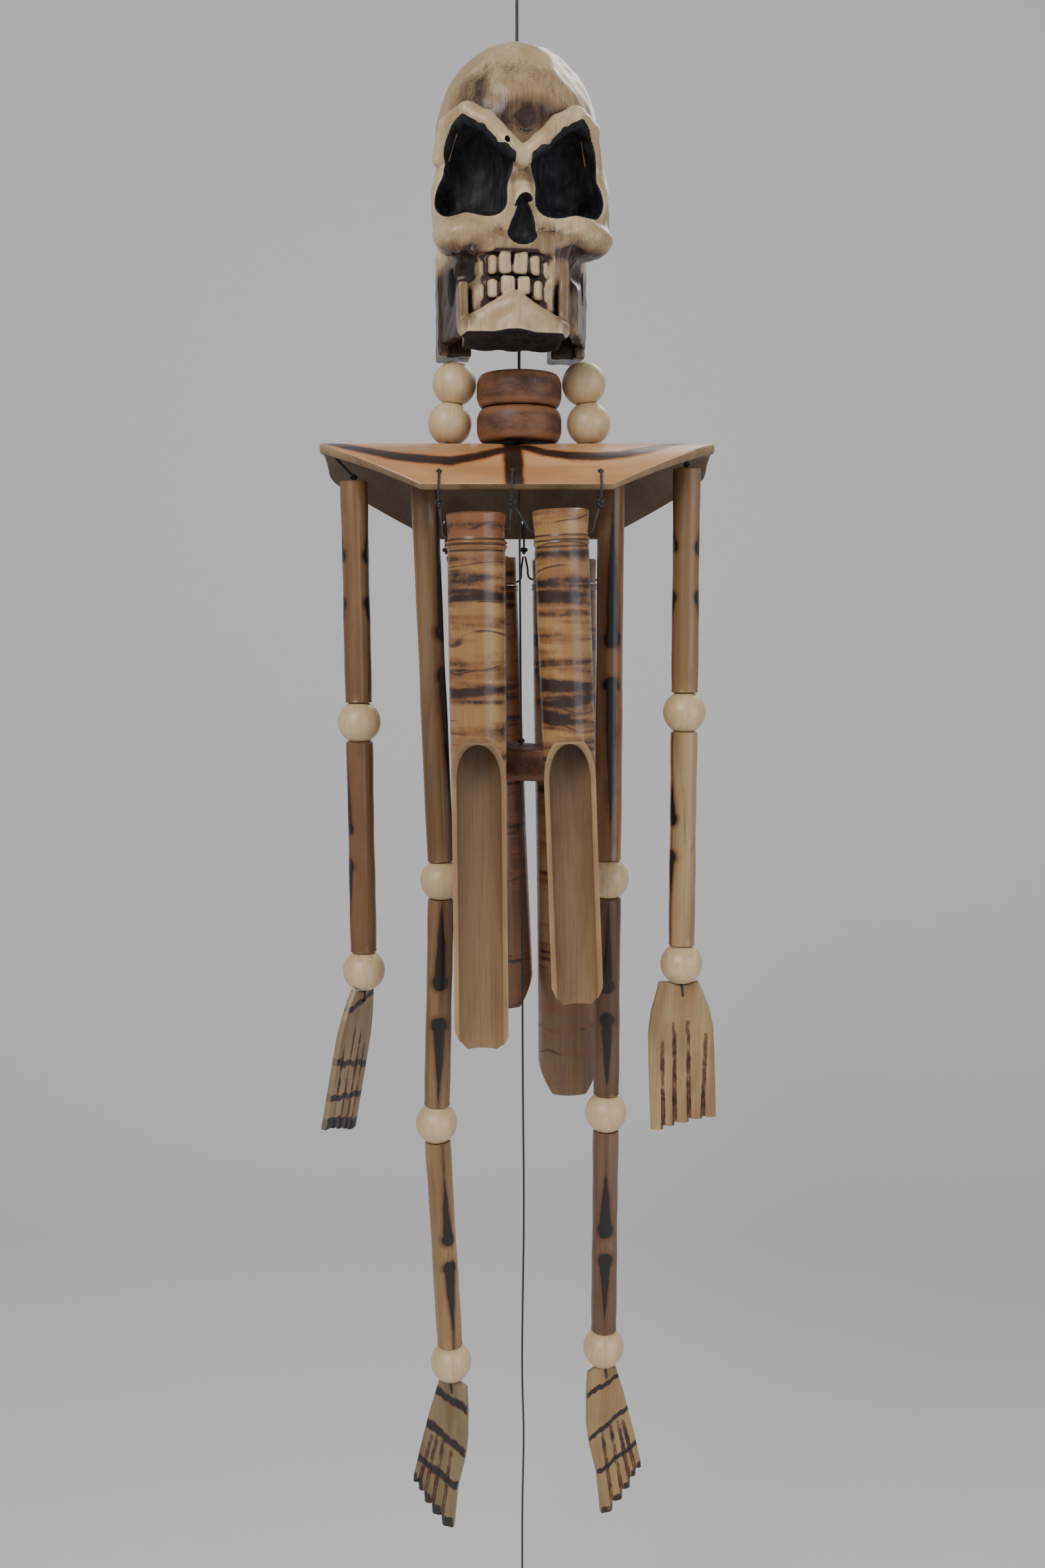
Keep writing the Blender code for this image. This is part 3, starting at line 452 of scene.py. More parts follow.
def skull_wood():
    """Pale carved wood: vertical grain, a brown wash in the cuts with painted shade in the deeper
    hollows and behind the jaw, black paint in the sockets.
    """
    g = Graph("skull_wood")
    grain = g.noise((700, 480, 34), detail=5, roughness=0.62, distortion=0.35)
    pores = g.noise((1500, 1200, 110), detail=2)
    cloud = g.noise((38, 38, 26), detail=4, distortion=0.6)
    marks = g.noise((130, 130, 70), detail=4, roughness=0.62)
    strokes = g.noise((420, 300, 50), detail=3, distortion=0.5)
    colour = g.mix(g.step(cloud, 0.32, 0.70), (0.375, 0.265, 0.140), (0.60, 0.465, 0.275))
    colour = g.tint(colour, (0.27, 0.175, 0.085), 0.45, grain, 0.48, 0.72)
    colour = g.tint(colour, (0.15, 0.085, 0.042), 0.40, pores, 0.62, 0.74)
    colour = g.mix(g.mul(g.attribute("rubbed"), 0.60), colour, (0.73, 0.60, 0.40))
    # brown wash, together with painted shade under the cheekbones and the brow's V, round the nose,
    # between the teeth and behind the jaw
    stain_and_shade = g.sway(g.sway(g.attribute("wash_and_shade"), marks, 0.95), grain, 0.60)
    stain_and_shade = g.sway(stain_and_shade, cloud, 1.30, 0.56)
    colour = g.tint(colour, (0.160, 0.092, 0.050), 0.80, stain_and_shade, 0.05, 0.75)
    colour = g.tint(colour, (0.026, 0.014, 0.010), 0.94, stain_and_shade, 0.65, 1.25)
    # black socket, nose and side-hole paint, and painted shade under the chin
    black = g.step(g.sway(g.attribute("paint"), marks, 0.3), 0.42, 0.58)
    coat = g.mix(g.step(strokes, 0.40, 0.70), (0.0050, 0.0050, 0.0065), (0.022, 0.022, 0.027))
    return g.finish(g.mix(black, colour, coat), g.step(g.add(strokes, black), -0.7, 2.6), 0.08,
                    0.30, 0.35, (marks, 0.40, 0.0008), (strokes, 0.15, 0.0005),
                    (grain, 0.35, 0.0003), (pores, 0.20, 0.0002))


def slat_bamboo(name, pale, shift):
    """Flat bamboo of the hands and feet: satin, with ragged scorched bands, dark tips and painted
    shade in the gaps between the digits.
    """
    g = Graph(name)
    tone = g.noise((90, 90, 20), detail=4, distortion=0.5, shift=shift)
    fibres = g.noise((1500, 1500, 30), detail=2, shift=shift)
    ragged = g.noise((210, 210, 130), detail=5, roughness=0.65, distortion=0.6, shift=shift + 4)
    colour = g.mix(g.step(tone, 0.30, 0.70), dimmed(pale, 0.62, 0.52, 0.42), pale)
    colour = g.tint(colour, dimmed(pale, 0.35), 0.30, fibres, 0.42, 0.76)
    burn_and_groove_shade = g.sway(g.attribute("scorch_and_groove_shade"), ragged, 1.1)
    # scorch in brown and black, and painted shade along the digit gaps
    colour = g.mix(g.step(burn_and_groove_shade, 0.22, 0.48), colour, CHAR_EDGE)
    colour = g.mix(g.step(burn_and_groove_shade, 0.46, 0.62), colour, BURNT)
    colour = g.mix(g.attribute("edge"), colour, (0.21, 0.185, 0.115))
    return g.finish(colour, g.step(ragged, -1.0, 2.0), 0.30, 0.2, 0.5,
                    (ragged, 0.25, 0.0005), (fibres, 0.2, 0.0003))


# ---------------------------------------------------------------- mesh helpers

def link_object(name, data):
    """A new object in the scene."""
    obj = bpy.data.objects.new(name, data)
    bpy.context.scene.collection.objects.link(obj)
    return obj


def placed(obj, body, nodes):
    """Give an object its body, and hide the CAD nodes that it stands for."""
    if nodes:
        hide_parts(*nodes)
    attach(obj, body)
    return obj


def add_piece(name, mesh, body, slot, *nodes, materials=(), sharp=40):
    """Link a finished mesh as a piece that rides on a body and stands for CAD nodes."""
    for material in materials:
        mesh.materials.append(material)
    mesh.shade_smooth()
    mesh.set_sharp_from_angle(angle=math.radians(sharp))
    return placed(link_object(name, mesh), body, nodes)


def grid_mesh(name, points, close_u=False, close_v=False):
    """A mesh from an array of points (rows, columns, 3), with quads that share its vertices."""
    rows, columns = points.shape[:2]
    index = np.arange(rows * columns).reshape(rows, columns)
    if close_u:
        index = np.concatenate([index, index[:1]])
    if close_v:
        index = np.concatenate([index, index[:, :1]], axis=1)
    quads = np.stack([index[:-1, :-1], index[1:, :-1], index[1:, 1:], index[:-1, 1:]], axis=-1)
    return mesh_from_arrays(name, points.reshape(-1, 3), quads.reshape(-1, 4))


def mesh_from_arrays(name, verts, quads):
    """A mesh from an array of vertices and an array of quads."""
    mesh = bpy.data.meshes.new(name)
    mesh.vertices.add(len(verts))
    mesh.vertices.foreach_set("co", np.asarray(verts, dtype=np.float32).ravel())
    mesh.loops.add(quads.size)
    mesh.loops.foreach_set("vertex_index", quads.astype(np.int32).ravel())
    mesh.polygons.add(len(quads))
    mesh.polygons.foreach_set("loop_start", np.arange(0, quads.size, 4, dtype=np.int32))
    mesh.update(calc_edges=True)
    mesh.validate()
    return mesh


def vertices_of(mesh):
    """A mesh's vertices as an array."""
    found = np.empty(len(mesh.vertices) * 3, dtype=np.float32)
    mesh.vertices.foreach_get("co", found)
    return found.reshape(-1, 3)


def paint(mesh, name, values):
    """Store one number on each vertex."""
    layer = mesh.attributes.new(name, "FLOAT", "POINT")
    layer.data.foreach_set("value", np.ascontiguousarray(values, dtype=np.float32))


def ease(value, low, high):
    """A smooth step from 0 at low to 1 at high, which falls if low is above high."""
    t = np.clip((value - low) / (high - low), 0, 1)
    return t * t * (3 - 2 * t)


def turned(name, profile, steps, matrix, close=True):
    """Turn a profile of (radius, z) about a line, given by the matrix that places it."""
    profile = np.array(profile)
    turn = np.linspace(0, math.tau, steps, endpoint=False)
    radius = profile[:, 0][:, None]
    points = np.stack([radius * np.cos(turn), radius * np.sin(turn),
                       np.repeat(profile[:, 1][:, None], steps, axis=1)], axis=-1)
    mesh = grid_mesh(name, points, close_u=close, close_v=True)
    mesh.transform(matrix)
    return mesh


def rounded(corners, radius, steps=4):
    """A profile with each corner replaced by a small arc, cut by the given radius."""
    found = []
    count = len(corners)
    for i, corner in enumerate(corners):
        here = np.array(corner)
        before = np.array(corners[i - 1]) - here
        after = np.array(corners[(i + 1) % count]) - here
        reach = min(radius, np.linalg.norm(before) * 0.45, np.linalg.norm(after) * 0.45)
        start = here + before / np.linalg.norm(before) * reach
        end = here + after / np.linalg.norm(after) * reach
        for k in range(steps + 1):
            t = k / steps
            found.append(tuple((1 - t) ** 2 * start + 2 * t * (1 - t) * here + t * t * end))
    return found


# ---------------------------------------------------------------- cords and knots

def smooth_route(points, spacing):
    """Points about `spacing` apart on a smooth curve through a route's points."""
    route = [Vector(p) for p in points]
    ends = [2 * route[0] - route[1], *route, 2 * route[-1] - route[-2]]
    found = [route[0]]
    for a, b, c, d in zip(ends, ends[1:], ends[2:], ends[3:]):
        steps = max(1, round((c - b).length / spacing))
        for k in range(1, steps + 1):
            t = k / steps
            found.append(0.5 * (2 * b + (c - a) * t + (2 * a - 5 * b + 4 * c - d) * t * t
                                + (3 * b - a - 3 * c + d) * t ** 3))
    return found


def add_cord(name, points, diameter, body, *nodes, cyclic=False):
    """A round cord through points, as a curve that rides on a body."""
    curve = bpy.data.curves.new(name, "CURVE")
    curve.dimensions = "3D"
    curve.bevel_depth = diameter / 2
    curve.bevel_resolution = 4
    curve.use_fill_caps = True
    spline = curve.splines.new("POLY")
    spline.points.add(len(points) - 1)
    for point, at in zip(spline.points, points):
        point.co = (*at, 1.0)
    spline.use_cyclic_u = cyclic
    spline.use_smooth = True
    curve.materials.append(TWINE)
    return placed(link_object(name, curve), body, nodes)


def overhand_knot(name, at, radius, diameter, body, turn=0.0):
    """A tight overhand knot: a trefoil of the same twine, drawn up into a ball."""
    reach = radius - diameter / 2
    points = []
    for i in range(42):
        t = math.tau * i / 42
        x = (math.sin(t) + 2 * math.sin(2 * t)) / 3
        y = (math.cos(t) - 2 * math.cos(2 * t)) / 3
        z = -math.sin(3 * t) * 0.55
        points.append(Vector(at) + Matrix.Rotation(turn, 3, "Z") @ Vector((x, z, y)) * reach)
    return add_cord(name, points, diameter, body, cyclic=True)


# ---------------------------------------------------------------- solid shapes by distance

def ball(p, centre, radii):
    """Distance to an ellipsoid, nearly."""
    q = [(a - c) / r for a, c, r in zip(p, centre, radii)]
    k0 = np.sqrt(q[0] ** 2 + q[1] ** 2 + q[2] ** 2)
    k1 = np.sqrt(sum((a / r) ** 2 for a, r in zip(q, radii)))
    return k0 * (k0 - 1) / np.maximum(k1, 1e-6)


def block(p, centre, half, soft, turn=0.0):
    """Distance to a box with rounded edges, turned about Z by degrees."""
    x, y, z = (a - c for a, c in zip(p, centre))
    c, s = math.cos(math.radians(turn)), math.sin(math.radians(turn))
    x, y = c * x + s * y, c * y - s * x
    q = [np.abs(a) - h + soft for a, h in zip((x, y, z), half)]
    outside = np.sqrt(sum(np.maximum(a, 0) ** 2 for a in q))
    return outside + np.minimum(np.maximum(q[0], np.maximum(q[1], q[2])), 0) - soft


def rod(p, start, end, start_r, end_r=None):
    """Distance to a round-ended rod, whose radius may change along it."""
    end_r = start_r if end_r is None else end_r
    run = [b - a for a, b in zip(start, end)]
    off = [a - b for a, b in zip(p, start)]
    length = sum(a * a for a in run)
    t = np.clip(sum(a * b for a, b in zip(off, run)) / length, 0, 1)
    gap = np.sqrt(sum((a - t * b) ** 2 for a, b in zip(off, run)))
    return gap - (start_r + (end_r - start_r) * t)


def join(a, b, soft):
    """Union of two distances, blended over `soft`."""
    h = np.maximum(soft - np.abs(a - b), 0) / soft
    return np.minimum(a, b) - h * h * soft / 4


def carve(a, b, soft):
    """a with b cut away, blended over `soft`."""
    return -join(-a, b, soft)


def blend(parts, soft):
    """Union of several distances, one after the other."""
    return reduce(lambda a, b: join(a, b, soft), parts)


def mirrored(p, side):
    """Coordinates for a part that is drawn on the right and stands on the side -1 or 1."""
    return side * p[0], p[1], p[2]


def spaced(lowest, highest, cell):
    """A sparse grid of coordinates between two corners."""
    axes = [np.arange(a, b, cell, dtype=np.float32) for a, b in zip(lowest, highest)]
    return np.meshgrid(*axes, indexing="ij", sparse=True)


def surface_of(field, lowest, cell):
    """Quads over the zero level of a field of distances, by naive surface nets."""
    inside = field < 0
    corners = [(i, j, k) for i in (0, 1) for j in (0, 1) for k in (0, 1)]
    size = np.array(field.shape) - 1

    def at(array, corner):
        i, j, k = corner
        return array[i:i + size[0], j:j + size[1], k:k + size[2]]

    count = sum(at(inside, c).astype(np.int8) for c in corners)
    mixed = (count > 0) & (count < 8)
    cells = np.argwhere(mixed)
    total = np.zeros((len(cells), 3))
    crossings = np.zeros(len(cells))
    for a in corners:
        for axis in range(3):
            if a[axis]:
                continue
            b = tuple(v + (n == axis) for n, v in enumerate(a))
            va = at(field, a)[mixed]
            vb = at(field, b)[mixed]
            crosses = (va < 0) != (vb < 0)
            t = np.where(crosses, va / np.where(crosses, va - vb, 1), 0)
            place = np.array(a) + np.eye(3)[axis] * t[:, None]
            total += place * crosses[:, None]
            crossings += crosses
    verts = (cells + total / crossings[:, None]) * cell + lowest
    number = np.full(mixed.shape, -1, dtype=np.int64)
    number[mixed] = np.arange(len(cells))
    quads = []
    for axis in range(3):
        u, v = [n for n in range(3) if n != axis]
        low = [slice(1, None)] * 3
        low[axis] = slice(0, -1)
        edges = np.argwhere(inside[tuple(low)] != inside[1:, 1:, 1:])
        edges[:, [u, v]] += 1
        keep = np.all(edges[:, [u, v]] < size[[u, v]], axis=1)
        keep &= edges[:, axis] < size[axis]
        edges = edges[keep]
        outward = inside[tuple(edges.T)]
        ring = []
        for du, dv in ((0, 0), (1, 0), (1, 1), (0, 1)):
            at_cell = edges.copy()
            at_cell[:, u] -= du
            at_cell[:, v] -= dv
            ring.append(number[tuple(at_cell.T)])
        quad = np.stack(ring, axis=1)
        flip = outward if axis == 1 else ~outward
        quad[flip] = quad[flip][:, ::-1]
        quads.append(quad)
    return verts, np.concatenate(quads)


def blurred(field, cells):
    """A field smoothed with a running mean along each axis, twice."""
    for _ in range(2):
        for axis in range(3):
            padded = np.concatenate([np.repeat(np.take(field, [0], axis), cells + 1, axis), field,
                                     np.repeat(np.take(field, [-1], axis), cells, axis)], axis)
            sums = np.cumsum(padded, axis, dtype=np.float64)
            count = 2 * cells + 1
            upper = np.take(sums, range(count, sums.shape[axis]), axis)
            lower = np.take(sums, range(0, sums.shape[axis] - count), axis)
            field = (upper - lower) / count
    return field


def sampled(field, verts, lowest, cell):
    """A field's values at the vertices, from the nearest grid point."""
    index = np.clip(np.round((verts - lowest) / cell).astype(int), 0, np.array(field.shape) - 1)
    return field[tuple(index.T)]


# ---------------------------------------------------------------- the skull, in millimetres

JAW_SHIFT = -6.0
FACE_SHIFT = -2.4
MASK_X = ((-1, 38.6, 30.4), (1, 34.6, 27.8))
CHIN_FLOOR = -143.0


EYE = (((21.4, -51, -65.0), (17.2, 31, 18.4)), ((24.0, -47, -77.5), (14.5, 26, 10.0)),
       ((33.5, -38, -80.5), (5.8, 22, 7.0)), ((14.5, -50, -83.0), (7.6, 20, 6.0)))
TOOTH_ROWS = (
    ((-15.4, 2.2, -113.0, 3.6), (-10.2, 2.3, -111.8, 4.4), (-4.4, 2.9, -111.2, 5.0),
     (2.6, 3.3, -111.2, 5.0), (9.4, 2.8, -111.8, 4.5), (14.9, 2.0, -112.8, 3.6)),
    ((-15.2, 2.1, -123.4, 3.6), (-9.8, 2.6, -122.4, 4.2), (-3.2, 3.4, -121.0, 4.2),
     (4.2, 3.2, -121.0, 4.0), (10.6, 2.6, -122.8, 4.6), (15.4, 1.6, -124.0, 3.8)))
FACETS = (((0.55, -0.62, 0.56), 42.6), ((-0.52, -0.66, 0.54), 43.0), ((0.95, -0.10, 0.30), 41.4),
          ((-0.95, -0.10, 0.30), 41.4), ((0.05, -0.82, 0.57), 42.4))
BROW = ((0, -48.8, -65.0, 4.2), (8, -49.6, -59.2, 4.6), (16.5, -48.4, -50.6, 4.7),
        (25, -44.6, -45.6, 4.9), (33, -35.8, -48.6, 4.6), (36.4, -27.0, -60.5, 4.0))
CHIN_PEAK = ((-22, -42.0, -139.5), (-11, -45.0, -134.0), (-1.0, -46.6, -128.5),
             (9, -45.2, -133.5), (22, -42.0, -139.5))


def socket_field(p):
    """Both eye sockets: tall ovals that widen at their lower outer corners."""
    return np.minimum(*[blend([ball(mirrored(p, side), *part) for part in EYE], 6)
                        for side in (-1, 1)])


def nose_field(p):
    """The nose opening: a narrow arch that spreads at its foot."""
    found = ball(p, (0.4, -51, -96.0), (7.6, 15, 6.4))
    return join(found, ball(p, (1.2, -50, -90.0), (5.0, 12, 8.5)), 5)


def teeth_field(p):
    """Two rows of blunt block teeth, the lower row pushed down in the middle by the chin's peak."""
    teeth = []
    for x, half, z, tall in (*TOOTH_ROWS[0], *TOOTH_ROWS[1]):
        place = (x, -45.6 + 0.021 * x * x, z)
        teeth.append(block(p, place, (half, 2.8, tall), 1.5, turn=-2.4 * x))
    return reduce(np.minimum, teeth)


def cranium_field(p):
    """The dome, its lower back, the face's mask, the cheekbones and the temples."""
    x, y, z = p
    found = ball(p, (0, -3, -49.5), (39.5, 40, 49.5))
    found = join(found, ball(p, (0, -3, -40.5), (38.4, 38.4, 38.6)), 3)
    found = join(found, ball(p, (0, 6, -78), (36.5, 30, 29)), 8)
    found = join(found, block(p, (0, -22, -74), (35, 20, 28), 13), 9)
    for (a, b, c), offset in FACETS:
        plane = offset - (a * x + b * (y + 3) + c * (z + 49.5)) / math.hypot(a, b, c)
        found = carve(found, plane, 1.2)
    for side in (-1, 1):
        found = join(found, ball(p, (side * 26.5, -31.0, -96.5), (16.0, 14.5, 9.0)), 4)
        found = join(found, ball(p, (side * 37.0, -20, -80), (5.6, 13, 21)), 5)
    return found


def brow_field(p):
    """The heavy brow: one ridge that dips to a V over the nose and arches over both sockets."""
    return blend([rod(mirrored(p, side), a[:3], b[:3], a[3], b[3])
                  for side in (-1, 1) for a, b in zip(BROW, BROW[1:])], 0.8)


def jaw_field(p):
    """The jaw behind the teeth: mouth block, throat and the bars beside the mouth."""
    found = block(p, (0, -30, -108), (24, 15, 13), 7)
    found = join(found, block(p, (0, -29.5, -126), (20.5, 13.5, 16), 5), 3)
    found = join(found, block(p, (0, -8, -117), (18, 15, 16.5), 3), 2)
    for side in (-1, 1):
        found = join(found, block(p, (side * 23.6, -36.0, -119), (2.5, 8.0, 20), 1.4), 1.0)
    return found


def chin_field(p):
    """The chin: a wide block whose top edge rises to a peak between the lower teeth."""
    found = block(p, (0, -38.0, -143.5), (23.0, 11.0, 7.5), 2.5)
    found = blend([found, *(rod(p, a, b, 4.6) for a, b in zip(CHIN_PEAK, CHIN_PEAK[1:]))], 1.5)
    return join(found, rod(p, (0, -43.5, -134), (0, -45.5, -142), 7.6), 5.0)


def side_field(p):
    """What stands behind the jaw: thin side plates and the rear posts with their inner blocks."""
    parts = []
    for side, outer, plate_x in MASK_X:
        parts += [block(p, (side * plate_x, -16.5, -118.5), (2.8, 22, 21), 1.2, turn=-side * 15),
                  block(p, (side * (outer - 2.7), 9.5, -119), (2.7, 11.0, 25.6), 0.8),
                  block(p, (side * (outer - 10.6), 10, -122), (6.0, 8.6, 22.4), 1.0)]
    return blend(parts, 0.8)


def side_holes(p):
    """The oval holes through the side plates."""
    return np.minimum(ball(p, (-32.0, -17, -116), (9, 4.6, 8.5)),
                      ball(p, (29.8, -17, -116), (9, 4.6, 8.5)))


def under_chin(p):
    """Height over the slanting plane that cuts the chin off below."""
    return p[2] - CHIN_FLOOR + 0.19 * (p[1] + 49)


def jaw_space(p):
    """Coordinates in which the jaw stands centred: it is carved a little to one side."""
    x, y, z = p
    return x - JAW_SHIFT * ease(z, -86.0, -110.0), y, z


def skull_field(p):
    """The whole carving as distances in mm from its surface, with the crown at the origin."""
    x, y, z = p
    jaw, face = jaw_space(p), (x - FACE_SHIFT, y, z)
    found = join(cranium_field(p), jaw_field(jaw), 3.0)
    found = join(found, side_field(p), 1.6)
    found = join(found, rod(face, (0, -42.0, -70), (0.2, -48.0, -84), 4.0, 4.4), 4)
    for side in (-1, 1):
        found = carve(found, ball(p, (side * 30.5, -38, -112.5), (9.0, 15, 7.2)), 2.0)
        part = mirrored(jaw, side)
        found = carve(found, rod(part, (18.9, -46.5, -105), (19.4, -47, -136), 2.1), 0.8)
        found = carve(found, rod(part, (27.0, -33, -104), (27.0, -33, -143), 1.1), 0.5)
    found = carve(found, side_holes(p), 0.6)
    found = carve(found, ball(p, (0, -57.0, -46), (19, 16, 13)), 4)
    for side in (1, -1):
        found = carve(found, ball(p, (side * 21, -52.5, -100.0), (8, 8, 3.6)), 2)
    found = carve(found, block(jaw, (0, -48, -121.0), (18.2, 5.6, 15.0), 2.0), 1.0)
    found = join(found, teeth_field(jaw), 0.4)
    found = join(found, chin_field(jaw), 0.6)
    found = carve(found, socket_field(face), 0.8)
    found = join(found, brow_field(face), 1.0)
    found = carve(found, nose_field(face), 1.0)
    found = np.where(y < -18, carve(found, under_chin(p), 0.6), found)
    chips = (np.sin(x * 0.47 + 1.3 * np.sin(z * 0.21)) * np.sin(y * 0.41 + z * 0.13)
             * np.sin(z * 0.33 + 0.8 * np.sin(x * 0.27)))
    return found + 0.34 * chips


# Patches as (strength, centre, radii, blend): the first four are brown wash on the forehead and
# temples, the second partly painted shade in the dip above the brow; the last four are painted
# shade under the brow's V, round the nose and under the cheekbones.
WASH_AND_SHADE_PATCHES = ((0.50, (-5, -38, -34), (30, 22, 17), 5.0), (0.85, (-2, -44, -49), (24, 20, 13), 5.0),
          (0.55, (-27, -30, -34), (13, 16, 11), 4.0), (0.50, (31, -24, -32), (9, 18, 16), 4.0),
          (0.75, (-2, -44, -72), (6.5, 8, 4.5), 2.0), (0.65, (1, -46, -100), (26, 14, 8), 4.0),
          (0.60, (-30, -38, -105), (13, 16, 6), 2.5), (0.60, (30, -38, -105), (13, 16, 6), 2.5))


def skull_wash_and_shade(p, cavity):
    """How dark the brown wash and the painted shade are: wash in hollows, over the brow, round the
    mouth and on the jaw's sides, painted shade under the cheekbones and the brow's V, round the
    nose, between the teeth, behind the face and low on the back of the cranium.
    """
    x, y, z = p
    jaw = jaw_space(p)
    stain_and_shade = ease(cavity, 0.05, 1.1)
    for strength, place, radii, soft in WASH_AND_SHADE_PATCHES:
        stain_and_shade += strength * ease(ball(p, place, radii), soft, -soft)
    stain_and_shade -= ease(brow_field((x - FACE_SHIFT, y, z)), 1.2, 0.2)
    stain_and_shade += 0.80 * ease(z, -101, -105) * ease(z, -146, -136) * ease(np.abs(jaw[0]), 16, 21)
    # painted shade in the hollows under the cheekbones, beside the mouth
    stain_and_shade += 0.60 * (ease(z, -101, -106) * ease(z, -126, -116) * ease(np.abs(x), 19, 24)
                     * ease(np.abs(x), 30, 26))
    # in the mouth: a little wash, and painted shade between the teeth that darkens where the gaps
    # go deeper
    mouth = ease(z, -103.5, -106) * ease(z, -137, -134) * ease(np.abs(jaw[0]), 21.5, 19.0)
    mouth = mouth * ease(chin_field(jaw), 0.2, 1.0)
    depth = y - (-48.4 + 0.021 * jaw[0] ** 2)
    stain_and_shade += mouth * ease(y, -30, -34) * (0.15 + 2.2 * ease(depth, 0.7, 1.9))
    # painted shade on the low parts that stand back from the face, and on the inner blocks behind
    # the jaw
    stain_and_shade += 0.80 * ease(z, -104, -112) * ease(y, -34, -26)
    stain_and_shade += 1.60 * ease(z, -124, -132) * ease(y, -6, -2) * ease(np.abs(x + 2), 32.4, 31.2)
    # painted shade low on the back of the cranium
    stain_and_shade += 0.30 * ease(y, -4, 12) * ease(z, -40, -100)
    return stain_and_shade


def skull_black(p):
    """Where the carving is made black: painted sockets, nose and side holes, and painted shade
    under the chin.
    """
    x, y, z = p
    face = (x - FACE_SHIFT, y, z)
    brow = brow_field(face)
    under_brow = brow_field((face[0], y, z - 1)) - brow
    black = ease(socket_field(face), 1.0, 0.3) * np.maximum(ease(brow, 0.3, 0.7),
                                                         ease(under_brow, 0.30, 0.55))
    black = np.maximum(black, ease(nose_field(face), 0.8, 0.2))
    black = np.maximum(black, ease(side_holes(p), 0.8, 0.1))
    # painted shade: the chin's underside, at the front, made nearly black
    return np.maximum(black, 0.9 * ease(under_chin(p), 1.0, 0.4) * ease(y, -18, -21))


def carved_skull():
    """The skull as one carved mesh, with its wash, its painted shade and its paint stored on the
    vertices.
    """
    cell = 0.72
    lowest = np.array([-45.5, -54.5, -150.5])
    field = skull_field(spaced(lowest, (45.5, 39.5, 1.5), cell))
    verts, quads = surface_of(field, lowest, cell)
    cavity = sampled(blurred(field, round(3.0 / cell)), verts, lowest, cell)
    points = tuple(verts.T)
    stain_and_shade = skull_wash_and_shade(points, -cavity)
    black = skull_black(points)
    mesh = mesh_from_arrays("carved_skull", verts, quads)
    place = Matrix.Translation(SKULL_TOP) @ Matrix.Rotation(SKULL_TURN, 4, "Z")
    mesh.transform(place @ Matrix.Scale(MM, 4))
    # brown wash with painted shade
    paint(mesh, "wash_and_shade", stain_and_shade)
    # black paint, with painted shade under the chin
    paint(mesh, "paint", black)
    paint(mesh, "rubbed", ease(cavity, 0.5, 1.8) * ease(stain_and_shade, 0.9, 0.3))
    add_piece("carved_skull", mesh, "skull", "skull", "skull", materials=[skull_wood()], sharp=180)


# ---------------------------------------------------------------- beads and discs

def drilled_profile(radius, half_height, bore):
    """A ball with flattened ends and a bore with worn lips."""
    flat_tilt = math.acos(half_height / radius)
    profile = [(bore, half_height - 0.0010), (bore + 0.0003, half_height - 0.0003),
               (bore + 0.0009, half_height)]
    for i in range(25):
        tilt = flat_tilt + (math.pi - 2 * flat_tilt) * i / 24
        profile.append((radius * math.sin(tilt), radius * math.cos(tilt)))
    profile += [(bore + 0.0009, -half_height), (bore + 0.0003, -half_height + 0.0003),
                (bore, -half_height + 0.0010)]
    return profile


def wooden_bead(node, body, lean=0.0):
    """One turned bead in the place of its CAD node."""
    low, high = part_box(node)
    centre = (Vector(low) + Vector(high)) / 2
    matrix = Matrix.Translation(centre) @ Matrix.Rotation(lean, 4, "Y")
    mesh = turned(f"{node}_turned", drilled_profile(BEAD_R, BEAD_HALF_HEIGHT, 0.0016), 40, matrix)
    local = vertices_of(mesh) - np.array(centre)
    out = np.hypot(local[:, 0], local[:, 1])
    # painted shade in the bore and round its lips
    paint(mesh, "wear_and_bore_shade", 0.75 * ease(out, 0.0032, 0.0017))
    add_piece(f"{node}_turned", mesh, body, "bead", node, materials=[BEAD_WOOD])


def wooden_disc(node, body, material, tilt=0.0):
    """A thick turned disc with rounded edges, in the place of its CAD node."""
    low, high = (Vector(corner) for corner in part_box(node))
    radius = (high.x - low.x) / 2
    half = (high.z - low.z) / 2
    corners = [(0.0017, half), (radius * 0.91, half), (radius, half * 0.50),
               (radius, -half * 0.50), (radius * 0.91, -half), (0.0017, -half)]
    matrix = Matrix.Translation((low + high) / 2) @ Matrix.Rotation(tilt, 4, "Y")
    mesh = turned(f"{node}_turned", rounded(corners, 0.0030, 6), 72, Matrix.Identity(4))
    local = vertices_of(mesh)
    out = np.hypot(local[:, 0], local[:, 1]) / radius
    tall = np.abs(local[:, 2]) / half
    rim = ease(tall, 0.40, 0.75) * ease(tall, 1.0, 0.9)
    paint(mesh, "wear_and_bore_shade", 0.45 * ease(out, 0.86, 0.95) * rim)
    paint(mesh, "end", 0.6 * ease(tall, 0.97, 1.0) * ease(out, 0.92, 0.80))
    mesh.transform(matrix)
    add_piece(f"{node}_turned", mesh, body, "disc", node, materials=[material])


def neck_pieces():
    """Two discs on the centre cord, two leaning beads on each side cord."""
    disc = disc_wood()
    for node in ("neck_disc_upper", "neck_disc_lower"):
        wooden_disc(node, "shoulders", disc)
    wooden_disc("striker", "striker", disc, tilt=math.radians(4))
    for side in SIDES:
        low = sum((Vector(c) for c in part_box(f"neck_bead_lower_{side}")), Vector()) / 2
        high = sum((Vector(c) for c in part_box(f"neck_bead_upper_{side}")), Vector()) / 2
        lean = math.atan2(high.x - low.x, high.z - low.z)
        for row in ("upper", "lower"):
            wooden_bead(f"neck_bead_{row}_{side}", "shoulders", lean)


# ---------------------------------------------------------------- limbs

